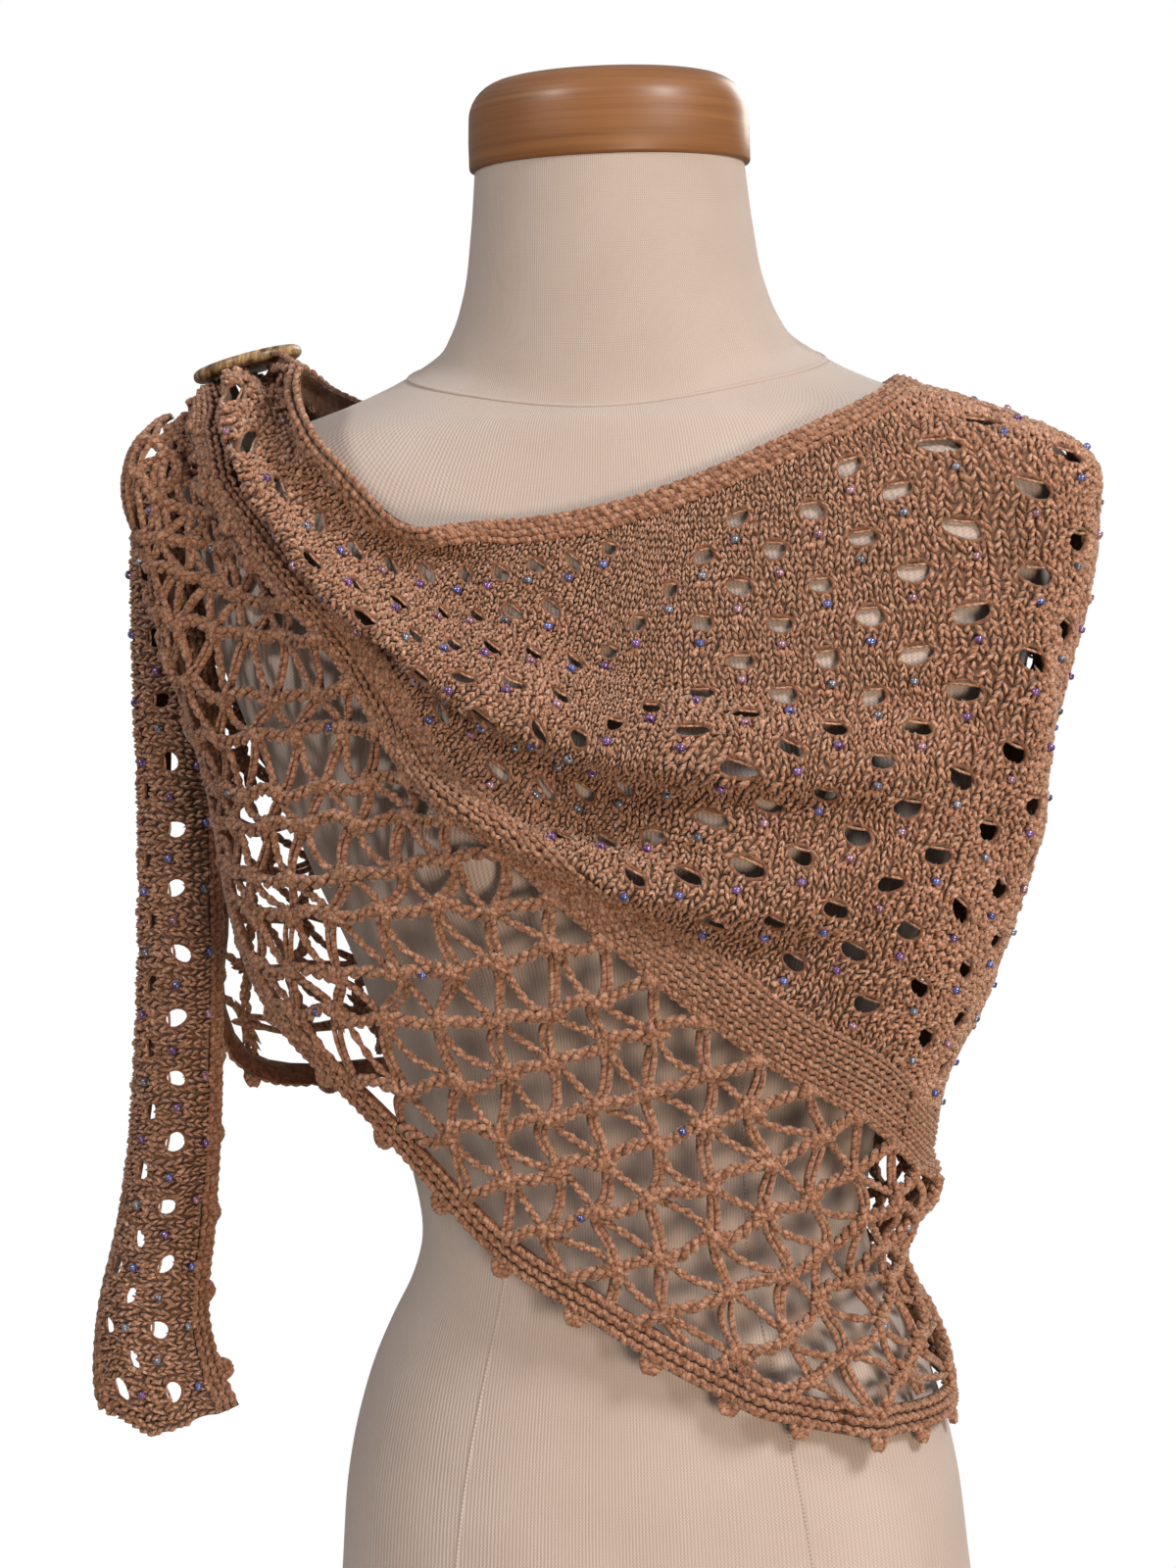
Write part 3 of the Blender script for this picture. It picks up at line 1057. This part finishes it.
def mesh_beads(lattice, span, materials, name):
    """A few beads, each on a rope beside a knot."""
    a, b = lattice.nodes(span)
    some = (np.round(2 * a) * 2 + np.round(b) * 5) % 13 == 4
    some &= (b > 0.5) & (b + 1 < lattice.deep(a))
    point, normal = lattice.at(a[some] - 0.16, b[some] + 0.32)
    beyond = lattice.at(a[some] - 0.3, b[some] + 0.6)[0]
    return beads(point + 3.4 * normal, unit(beyond - point), materials, name)


def edging_wall(part, cloth, span, level):
    """Thin wall behind the ridges of the hem edging."""
    s = np.linspace(*span, max(int((span[1] - span[0]) / cloth.length * 260), 8))
    t = level(s[:, None], np.linspace(0, 1, 4)[None, :])
    points, normals = cloth.at(np.broadcast_to(s[:, None], t.shape), t)
    thin_wall(part, points.reshape(-1, 3), normals.reshape(-1, 3), grid_quads(len(s) - 1, 3), 0.5)


def picot_hem(cloth, span, hem_width):
    """Garter ridges along the hem, and a small pointed nub at each picot."""
    part = Part()

    def level(s, share):
        return 3 - cloth.edge_share(np.asarray(s, float), 3, -1, hem_width) * (1 - share)

    edging_wall(part, cloth, span, level)
    garter(part, cloth, span, level, HEM_RIDGES, HEM_RADIUS)
    s_table, lengths, first, _, number, pitch = divided(cloth, 3, span, PICOT_PITCH)
    middle = np.interp(first + pitch * (np.arange(number) + 0.5), lengths, s_table)
    foot, normal = cloth.at(middle, np.full(number, 3.0))
    above = cloth.at(middle, np.full(number, 2.9))[0]
    down = unit(foot - above)
    side = unit(np.cross(normal, down))
    x = np.linspace(0, 1, 6)
    for lean in (-1, 1, 0):
        out = (PICOT_LENGTH - 1.0) * np.sin(0.5 * np.pi * x) - 1.5 - 0.8 * abs(lean)
        away = 4.8 * lean * (1 - x) ** 1.1
        centres = (foot[:, None] + down[:, None] * out[None, :, None]
                   + side[:, None] * away[None, :, None] + normal[:, None] * (0.7 - 0.2 * lean))
        radii = PICOT_RADIUS * np.sin(np.pi * (0.18 + 0.6 * x)) ** 0.7
        strand(part, centres, np.broadcast_to(normal[:, None], centres.shape), radii[None, :], sides=5)
    return part


def lathe(profile, segments):
    """Rings of a turned solid about Z. The first and last points are on the axis."""
    part = Part()
    angle = 2 * np.pi * np.arange(segments) / segments
    body = np.array(profile[1:-1], float)
    ring = np.stack([body[:, :1] * np.cos(angle), body[:, :1] * np.sin(angle),
                     np.broadcast_to(body[:, 1:], (len(body), segments))], axis=-1)
    k = np.arange(segments)
    after = (k + 1) % segments
    low = segments * np.arange(len(body) - 1)[:, None]
    high = low + segments
    quads = np.stack([low + k, low + after, high + after, high + k], axis=-1)
    count = len(body) * segments
    top = count - segments
    tris = np.concatenate([np.stack([0 * k + count, after, k], axis=1),
                           np.stack([0 * k + count + 1, top + k, top + after], axis=1)])
    ends = np.array([(0, 0, profile[0][1]), (0, 0, profile[-1][1])])
    part.add(np.concatenate([ring.reshape(-1, 3), ends]), quads, tris)
    return part


def seam_turns(z):
    """Turns of the two princess seams at a table height."""
    heights, turns = PRINCESS_SEAM.T
    return through(heights, -turns, z), through(heights, turns, z)


def form_skin(low, high, rows, lift=0.0):
    """Skin of the form between two table heights. Its columns follow the princess seams."""
    z = np.linspace(low, high, rows)
    left, right = seam_turns(z)
    share = np.linspace(0, 1, SKIN_COLUMNS + 1)
    turn = np.radians(np.stack([
        np.interp(share, (0, 0.36, 0.64, 1), (-180, a, b, 180)) for a, b in zip(left, right)]))
    height = WAIST_HEIGHT + z[:, None] + lift - form_lean(z)[:, None] * np.cos(turn)
    points = about_axis(ring_radius(turn, z[:, None]), turn, height)
    uvs = np.stack([np.degrees(turn) * 2.0, np.broadcast_to(z[:, None], turn.shape)], axis=-1)
    part = Part()
    quads = grid_quads(rows - 1, SKIN_COLUMNS)
    net = np.arange(rows * (SKIN_COLUMNS + 1)).reshape(rows, SKIN_COLUMNS + 1)
    net[:, -1] = net[:, 0]
    part.add(points, net.ravel()[quads], quad_uvs=uvs.reshape(-1, 2)[quads])
    k = np.arange(SKIN_COLUMNS)
    after = (k + 1) % SKIN_COLUMNS
    for row, first, second in ((0, after, k), (rows - 1, k, after)):
        ring = points[row, :-1]
        tris = np.stack([0 * k + SKIN_COLUMNS, first, second], axis=1)
        part.add(np.concatenate([ring, ring.mean(axis=0, keepdims=True)]), tris=tris)
    return part


def seam_welts(part):
    """Sewn welts of both princess seams."""
    z = np.linspace(*WELT_HEIGHTS, 100)
    for turn in seam_turns(z):
        turn = np.radians(turn)
        line = about_axis(ring_radius(turn, z) - 0.35, turn, WAIST_HEIGHT + z)
        normal = about_axis(1.0, turn, 0 * z)
        strand(part, line[None], normal[None], 0.8, sides=6, pointed=False)


def neck_welt(part):
    """The round seam at the foot of the neck."""
    turn = np.linspace(0, 2 * np.pi, 97)[:-1]
    z = np.full(len(turn), NECK_SEAM)
    height = WAIST_HEIGHT + NECK_SEAM + 0.3 - form_lean(z) * np.cos(turn)
    line = about_axis(ring_radius(turn, z) - 0.45, turn, height)
    normal = about_axis(1.0, turn, 0 * turn)
    loops(part, line[None], normal[None], 0.9, sides=6)


class Look:
    """The nodes of one material or world, with short calls that add them and join them up."""

    def __init__(self, block):
        block.use_nodes = True
        self.block = block
        self.nodes = block.node_tree.nodes
        self.links = block.node_tree.links
        self.place = self.nodes.new("ShaderNodeTexCoord").outputs

    def set(self, node, inputs):
        """Feeds a node's inputs, each from another node's output or with a fixed value."""
        for key, value in inputs.items():
            if isinstance(value, bpy.types.NodeSocket):
                self.links.new(value, node.inputs[key])
            else:
                node.inputs[key].default_value = value

    def add(self, kind, inputs, **settings):
        node = self.nodes.new(kind)
        for name, value in settings.items():
            setattr(node, name, value)
        self.set(node, inputs)
        return node

    def maths(self, operation, *values):
        return self.add("ShaderNodeMath", dict(enumerate(values)), operation=operation).outputs[0]

    def split(self, vector):
        return self.add("ShaderNodeSeparateXYZ", {"Vector": vector}).outputs

    def noise(self, place, scale, detail, rough=0.55):
        return self.add("ShaderNodeTexNoise", {
            "Vector": place, "Scale": scale, "Detail": detail, "Roughness": rough}).outputs["Fac"]

    def ramp(self, source, *stops):
        """Colours that run between the stops, each a position and its colour."""
        node = self.add("ShaderNodeValToRGB", {"Fac": source})
        elements = node.color_ramp.elements
        while len(elements) < len(stops):
            elements.new(0.5)
        for element, (position, colour) in zip(elements, stops):
            element.position = position
            element.color = (*colour, 1)
        return node.outputs["Color"]

    def product(self, first, second):
        """Product of two colours."""
        return self.add("ShaderNodeMix", {0: 1.0, 6: first, 7: second},
                        data_type="RGBA", blend_type="MULTIPLY").outputs[2]

    def bump(self, source, strength, distance):
        return self.add("ShaderNodeBump", {
            "Height": source, "Strength": strength, "Distance": distance}).outputs["Normal"]

    def shade(self, inputs):
        """Sets the material's own shader and gives the finished material."""
        self.set(self.nodes["Principled BSDF"], inputs)
        return self.block


def new_look(name):
    return Look(bpy.data.materials.new(name))


def ply_wave(look):
    """Wave from 0 in the grooves between a yarn's plies to 1 on them: it winds along each strand."""
    uv = look.split(look.place["UV"])
    turns = look.maths("MULTIPLY_ADD", uv["X"], 1 / PLY_LUMP, uv["Y"])
    return look.maths("ABSOLUTE", look.maths("SINE", look.maths("MULTIPLY", turns, math.pi)))


def yarn_material(name, dark, middle, light, groove_tone):
    """Soft two-ply wool: heathered colour, a hairy surface and a pale sheen."""
    look = new_look(name)
    place = look.place["Object"]
    heather = look.ramp(look.noise(place, 420.0, 3.0, 0.6), (0.3, dark), (0.5, middle), (0.72, light))
    tone = look.ramp(look.noise(place, 22.0, 2.0), (0.3, (0.9, 0.88, 0.86)), (0.7, WHITE))
    ply = ply_wave(look)
    groove = look.ramp(ply, (0.0, groove_tone), (0.45, WHITE))
    fuzz = look.noise(place, 1500.0, 4.0, 0.7)
    return look.shade({
        "Base Color": look.product(look.product(heather, tone), groove),
        "Roughness": 0.92,
        "Specular IOR Level": 0.15,
        "Sheen Weight": 0.45,
        "Sheen Roughness": 0.4,
        "Sheen Tint": (0.95, 0.84, 0.74, 1),
        "Normal": look.bump(look.maths("MULTIPLY_ADD", ply, 0.7, fuzz), 0.6, 0.0007),
    })


def jersey_material():
    """Cream jersey: fine upright ribs, and a grid of tiny darker knit dots."""
    look = new_look("cream jersey")
    uv = look.split(look.place["UV"])
    ribs, rows = (look.maths("SINE", look.maths("MULTIPLY", uv[axis], 2 * math.pi / pitch))
                  for axis, pitch in (("X", RIB_PITCH), ("Y", ROW_PITCH)))
    base = look.ramp(look.noise(look.place["Object"], 14.0, 3.0),
                     (0.3, (0.50, 0.41, 0.355)), (0.7, (0.56, 0.47, 0.415)))
    dots = look.ramp(look.maths("MULTIPLY", ribs, rows), (0.45, WHITE), (0.85, (0.66, 0.62, 0.59)))
    stripes = look.ramp(ribs, (0.0, (0.9, 0.89, 0.88)), (0.6, WHITE))
    return look.shade({
        "Base Color": look.product(look.product(base, dots), stripes),
        "Roughness": 0.9,
        "Specular IOR Level": 0.2,
        "Sheen Weight": 0.2,
        "Sheen Roughness": 0.5,
        "Normal": look.bump(ribs, 0.35, 0.0003),
    })


def wood_material(name, stops, stretch, turn, coat):
    """Turned wood with grain drawn out along one direction."""
    look = new_look(name)
    place = look.place["Object"]
    mapping = look.add("ShaderNodeMapping", {"Vector": place, "Scale": stretch, "Rotation": turn})
    grain = look.noise(mapping.outputs["Vector"], 1.0, 6.0, 0.62)
    tone = look.ramp(look.noise(place, 24.0, 2.0), (0.3, (0.88, 0.86, 0.84)), (0.7, WHITE))
    return look.shade({
        "Base Color": look.product(look.ramp(grain, *stops), tone),
        "Roughness": 0.45,
        "Coat Weight": coat,
        "Coat Roughness": 0.25,
        "Normal": look.bump(grain, 0.25, 0.0004),
    })


def bead_material(name, deep, bright):
    """Lustred glass bead with a darker heart."""
    look = new_look(name)
    speck = look.noise(look.place["Object"], 260.0, 1.0)
    return look.shade({
        "Base Color": look.ramp(speck, (0.35, deep), (0.65, bright)),
        "Roughness": 0.16,
        "Metallic": 0.35,
        "Coat Weight": 1.0,
        "Coat Roughness": 0.05,
    })


def beads(centres, axes, materials, name):
    """Small rounded rings of glass. Each bead takes one of the materials in turn."""
    profile = np.array([(0.6, -1.1), (1.3, -1.4), (1.9, -0.7), (1.9, 0.7), (1.3, 1.4), (0.6, 1.1)])
    segments = 9
    angle = 2 * np.pi * np.arange(segments) / segments
    first = unit(np.cross(axes, np.array([0.31, 0.77, 0.56])))
    second = np.cross(axes, first)
    spokes = np.cos(angle)[None, :, None] * first[:, None] + np.sin(angle)[None, :, None] * second[:, None]
    points = (centres[:, None, None] + profile[None, None, :, :1] * spokes[:, :, None]
              + profile[None, None, :, 1:] * axes[:, None, None])
    rows = len(profile)
    i, j = grid_pairs(np.arange(segments), np.arange(rows))
    i2, j2 = (i + 1) % segments, (j + 1) % rows
    quads = np.stack([i * rows + j, i2 * rows + j, i2 * rows + j2, i * rows + j2], axis=1)
    part = Part()
    part.add(points, quads[None] + (np.arange(len(centres)) * segments * rows)[:, None, None])
    piece = part.build(name, materials, "bead_glass")
    per_bead = rng.integers(0, len(materials), len(centres)).astype(np.int32)
    piece.data.polygons.foreach_set("material_index", np.repeat(per_bead, len(quads)))
    return piece


def lace_beads(knit, span, materials, name):
    """A bead under each eyelet of a stretch."""
    holes = knit.holes(span)
    print(name, len(holes), "beads")
    w, c = holes[:, 0], holes[:, 1] - BEAD_DROP
    height = 0 * w + BEAD_HEIGHT
    point = knit.flat_place(w, c, height)[0]
    above = knit.flat_place(w, c + 1, height)[0]
    return beads(point, unit(above - point), materials, name)


def point_camera():
    """Puts the camera where the photo was taken from."""
    azimuth, elevation, roll = (math.radians(angle) for angle in CAMERA_ANGLES)
    back = np.array([math.sin(azimuth) * math.cos(elevation), -math.cos(azimuth) * math.cos(elevation),
                     math.sin(elevation)])
    right = np.array([math.cos(azimuth), math.sin(azimuth), 0.0])
    up = np.cross(back, right)
    right_rolled = right * math.cos(roll) - up * math.sin(roll)
    up_rolled = right * math.sin(roll) + up * math.cos(roll)
    data = bpy.data.cameras.new("photo view")
    data.sensor_fit = "VERTICAL"
    data.sensor_height = CAMERA_SENSOR
    data.lens = PHOTO_FOCAL / PHOTO_HEIGHT * CAMERA_SENSOR
    data.sensor_width = CAMERA_SENSOR
    camera = in_scene("photo view", data)
    place = (CAMERA_AIM + CAMERA_DISTANCE * back + ORIGIN) / 1000
    rows = [[*pair, place[k]] for k, pair in enumerate(zip(right_rolled, up_rolled, back))]
    camera.matrix_world = Matrix([*rows, [0, 0, 0, 1]])
    bpy.context.scene.camera = camera


def area_light(name, place, aim, size, power, colour):
    data = bpy.data.lights.new(name, "AREA")
    data.shape = "DISK"
    data.size = size
    data.energy = power
    data.color = colour
    light = in_scene(name, data)
    light.location = place
    light.rotation_mode = "QUATERNION"
    light.rotation_quaternion = (Vector(aim) - Vector(place)).to_track_quat("-Z", "Y")


def studio_world():
    """Soft light that is brighter from above, before a plain white background."""
    look = Look(bpy.data.worlds.new("studio"))
    height = look.split(look.place["Generated"])["Z"]
    lift = look.add("ShaderNodeMapRange", {"Value": height, "From Min": -1.0})
    light = look.nodes["Background"]
    look.set(light, {"Color": look.ramp(lift.outputs["Result"], *SKY_STOPS)})
    white = look.add("ShaderNodeBackground", {"Color": (*WHITE, 1)})
    seen = look.add("ShaderNodeLightPath", {})
    mix = look.add("ShaderNodeMixShader", {
        "Fac": seen.outputs["Is Camera Ray"],
        1: light.outputs["Background"],
        2: white.outputs["Background"],
    })
    look.set(look.nodes["World Output"], {"Surface": mix.outputs["Shader"]})
    return look.block


def make_floor():
    """A round pale floor under the form."""
    ring = []
    for k in range(64):
        turn = k / 64 * 2 * math.pi
        ring.append((FLOOR_RADIUS * math.cos(turn) + 0.024, FLOOR_RADIUS * math.sin(turn) + 0.009, -0.0005))
    mesh = bpy.data.meshes.new("floor")
    mesh.from_pydata(ring, [], [tuple(range(64))])
    look = new_look("pale floor")
    shade = look.noise(look.place["Object"], 6.0, 2.0)
    colour = look.ramp(shade, (0.3, (0.86, 0.86, 0.86)), (0.7, (0.9, 0.9, 0.9)))
    mesh.materials.append(look.shade({"Base Color": colour, "Roughness": 0.8}))
    in_scene("floor", mesh)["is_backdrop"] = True


def set_stage():
    scene = bpy.context.scene
    scene.view_settings.view_transform = "Standard"
    scene.world = studio_world()
    for light in LIGHTS:
        area_light(*light)
    make_floor()


def make_form(jersey, cap_wood):
    """The dress form. Returns its torso, which the wrap rests on."""
    torso = form_skin(FORM_FOOT, NECK_SEAM, 150)
    seam_welts(torso)
    torso_piece = torso.build("jersey_torso", [jersey], "jersey", ["form_torso"])
    neck = form_skin(NECK_SEAM, NECK_TOP, 34, lift=0.35)
    neck_welt(neck)
    neck.build("jersey_neck", [jersey], "jersey", ["form_neck"])
    make_cap(cap_wood)
    return torso_piece


def make_cap(wood):
    """The turned cap on the neck, with a rounded upper edge."""
    half = 0.5 * CAP_WIDTH
    wall = half - 0.4
    shoulder = CAP_TALL - CAP_EDGE - 3
    profile = [(0, 0), (half - 1.5, 0), (wall, 0.4), (half, 1.5), (half, 12), (wall, shoulder)]
    for k in range(1, 11):
        turn = k / 10 * math.pi / 2
        profile.append((wall - CAP_EDGE * (1 - math.cos(turn)), shoulder + CAP_EDGE * math.sin(turn)))
    profile += [(half * 0.5, CAP_TALL - 1.4), (half * 0.2, CAP_TALL - 0.2), (0, CAP_TALL)]
    cap = lathe(profile, 72)
    oval = np.array([1, CAP_DEPTH / CAP_WIDTH, 1])
    cap.points[0] = cap.points[0] * oval + np.array([0, CAP_BACK, WAIST_HEIGHT + NECK_TOP + 0.5])
    cap.build("turned_neck_cap", [wood], "cap_wood", ["form_neck_cap"])


def make_button(wood, yarn):
    """The round button, tilted on its yarn shank. Returns the shank, which the hanging end rests on."""
    half, bend = 0.5 * BUTTON_WIDTH, 0.5 * BUTTON_THICK
    profile = [(0, 0), (half * 0.6, 0)]
    for k in range(9):
        turn = -math.pi / 2 + k / 8 * math.pi
        profile.append((half - bend + bend * math.cos(turn), bend + bend * math.sin(turn)))
    profile += [(half * 0.6, BUTTON_THICK), (0, BUTTON_THICK)]
    button = lathe(profile, 64)
    tilt = math.radians(BUTTON_TILT)
    x, y, z = button.points[0].T
    button.points[0] = np.stack([
        x * math.cos(tilt) - z * math.sin(tilt), y, x * math.sin(tilt) + z * math.cos(tilt)], axis=1)
    button.points[0] += np.array([BUTTON_X, 0, WAIST_HEIGHT + BUTTON_HEIGHT])
    button.build("wooden_button", [wood], "button_wood", ["shoulder_button"])
    shank = Part()
    low, high = (corner[2] * 1000 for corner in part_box("button_shank"))
    z = np.linspace(low + 0.4, high - 0.4, 14)
    centres = np.stack([0 * z + BUTTON_X, 0 * z, z], axis=-1)[None]
    normal = np.broadcast_to(np.array([0.0, -1.0, 0.0]), centres.shape)
    rope(shank, centres, normal, 1.05, 1.15, np.array([2.5]), sides=6)
    return shank.build("yarn_shank", [yarn], "edging_yarn", ["button_shank"])


def make_stretch(name, cloth, knit, lattice, span, materials):
    """One stretch of the wrap: a knitted wall with its yarn and beads, and its open mesh with the hem."""
    yarn, edging, shade, glass = materials
    backing = ground(knit, span).build(
        f"{name}_lace_ground", [shade], "lace_yarn", [f"shawl_{name}_eyelet_lace"])
    beside = [
        stitches(knit, span, 2).build(f"{name}_stitches", [yarn], "lace_yarn"),
        neck_edging(knit, span).build(
            f"{name}_slip_edging", [edging], "edging_yarn", [f"shawl_{name}_neck_edging"]),
        garter_band(cloth, span).build(
            f"{name}_garter_ridges", [edging], "edging_yarn", [f"shawl_{name}_garter_band"]),
        lace_beads(knit, span, glass, f"{name}_lace_beads"),
    ]
    ropes = mesh_ropes(lattice, span).build(
        f"{name}_mesh_ropes", [edging], "lace_yarn", [f"shawl_{name}_mesh_lace"])
    others = [
        mesh_strands(lattice, span).build(f"{name}_mesh_strands", [edging], "lace_yarn"),
        mesh_beads(lattice, span, glass, f"{name}_mesh_beads"),
        picot_hem(cloth, span, HEM_EDGING).build(
            f"{name}_picots", [edging], "edging_yarn", [f"shawl_{name}_picot_hem"]),
    ]


def make_tail(materials):
    """The hanging end, knitted right across, with its eyelets, beads and picot hem."""
    yarn, edging, shade, glass = materials
    whole = (0.0, 1.0)
    lace = tail_cloth(TAIL_LACE)
    knit = Knitting(lace, lace, ((0, 1), (5, 5)), TAIL_REPEAT, TAIL_FIRST_EYELET, TAIL_HOLE)
    backing = ground(knit, whole, 0).build("tail_lace_ground", [shade], "lace_yarn", ["shawl_tail_lace"])
    beside = [
        stitches(knit, whole, 2).build("tail_stitches", [yarn], "lace_yarn"),
        neck_edging(knit, whole).build("tail_slip_edging", [edging], "edging_yarn"),
        picot_hem(tail_cloth(TAIL_HEM), whole, TAIL_EDGING).build(
            "tail_picots", [edging], "edging_yarn", ["shawl_tail_picot_hem"]),
        lace_beads(knit, whole, glass, "tail_lace_beads"),
    ]


point_camera()
set_stage()
jersey = jersey_material()
cap_wood = wood_material(
    "cap wood", ((0.25, (0.15, 0.056, 0.015)), (0.5, (0.235, 0.094, 0.028)), (0.75, (0.30, 0.128, 0.042))),
    (5.0, 5.0, 330.0), (0, 0, 0), 0.12)
button_wood = wood_material(
    "button wood", ((0.36, (0.05, 0.025, 0.01)), (0.5, (0.26, 0.15, 0.06)), (0.66, (0.55, 0.38, 0.17))),
    (420.0, 60.0, 160.0), (0, 0.6, 0), 0.15)
yarn = yarn_material(
    "lace wool", (0.21, 0.097, 0.056), (0.485, 0.252, 0.155), (0.76, 0.47, 0.345), (0.45, 0.37, 0.32))
edging = yarn_material(
    "edging wool", (0.17, 0.074, 0.041), (0.375, 0.185, 0.11), (0.60, 0.355, 0.245), (0.4, 0.32, 0.28))
shade = yarn_material(
    "wool behind", (0.11, 0.054, 0.034), (0.19, 0.098, 0.062), (0.28, 0.155, 0.1), (0.9, 0.9, 0.9))
glass = [
    bead_material("periwinkle bead", (0.05, 0.06, 0.19), (0.16, 0.18, 0.46)),
    bead_material("purple bead", (0.09, 0.04, 0.14), (0.24, 0.13, 0.36)),
    bead_material("steel bead", (0.06, 0.07, 0.10), (0.26, 0.29, 0.36)),
    bead_material("pink bead", (0.20, 0.09, 0.13), (0.42, 0.25, 0.32)),
]
materials = (yarn, edging, shade, glass)
torso = make_form(jersey, cap_wood)
shank = make_button(button_wood, edging)
wrap = wrap_cloth(folded_point)
unfolded = wrap_cloth(drape_point)
wrap_knit = Knitting(wrap, unfolded, LEAST_COURSES, (EYELET_WALES, EYELET_COURSES), FIRST_EYELET, HOLE)
wrap_lattice = MeshLace(wrap, unfolded, HEM_EDGING)
for name, span in (("front", FRONT_SPAN), ("side", SIDE_SPAN), ("back", BACK_SPAN)):
    make_stretch(name, wrap, wrap_knit, wrap_lattice, span, materials)
make_tail(materials)

total = sum(len(p.vertices) - 2 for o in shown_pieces() if o.type == "MESH" for p in o.data.polygons)
print("all triangles", total)
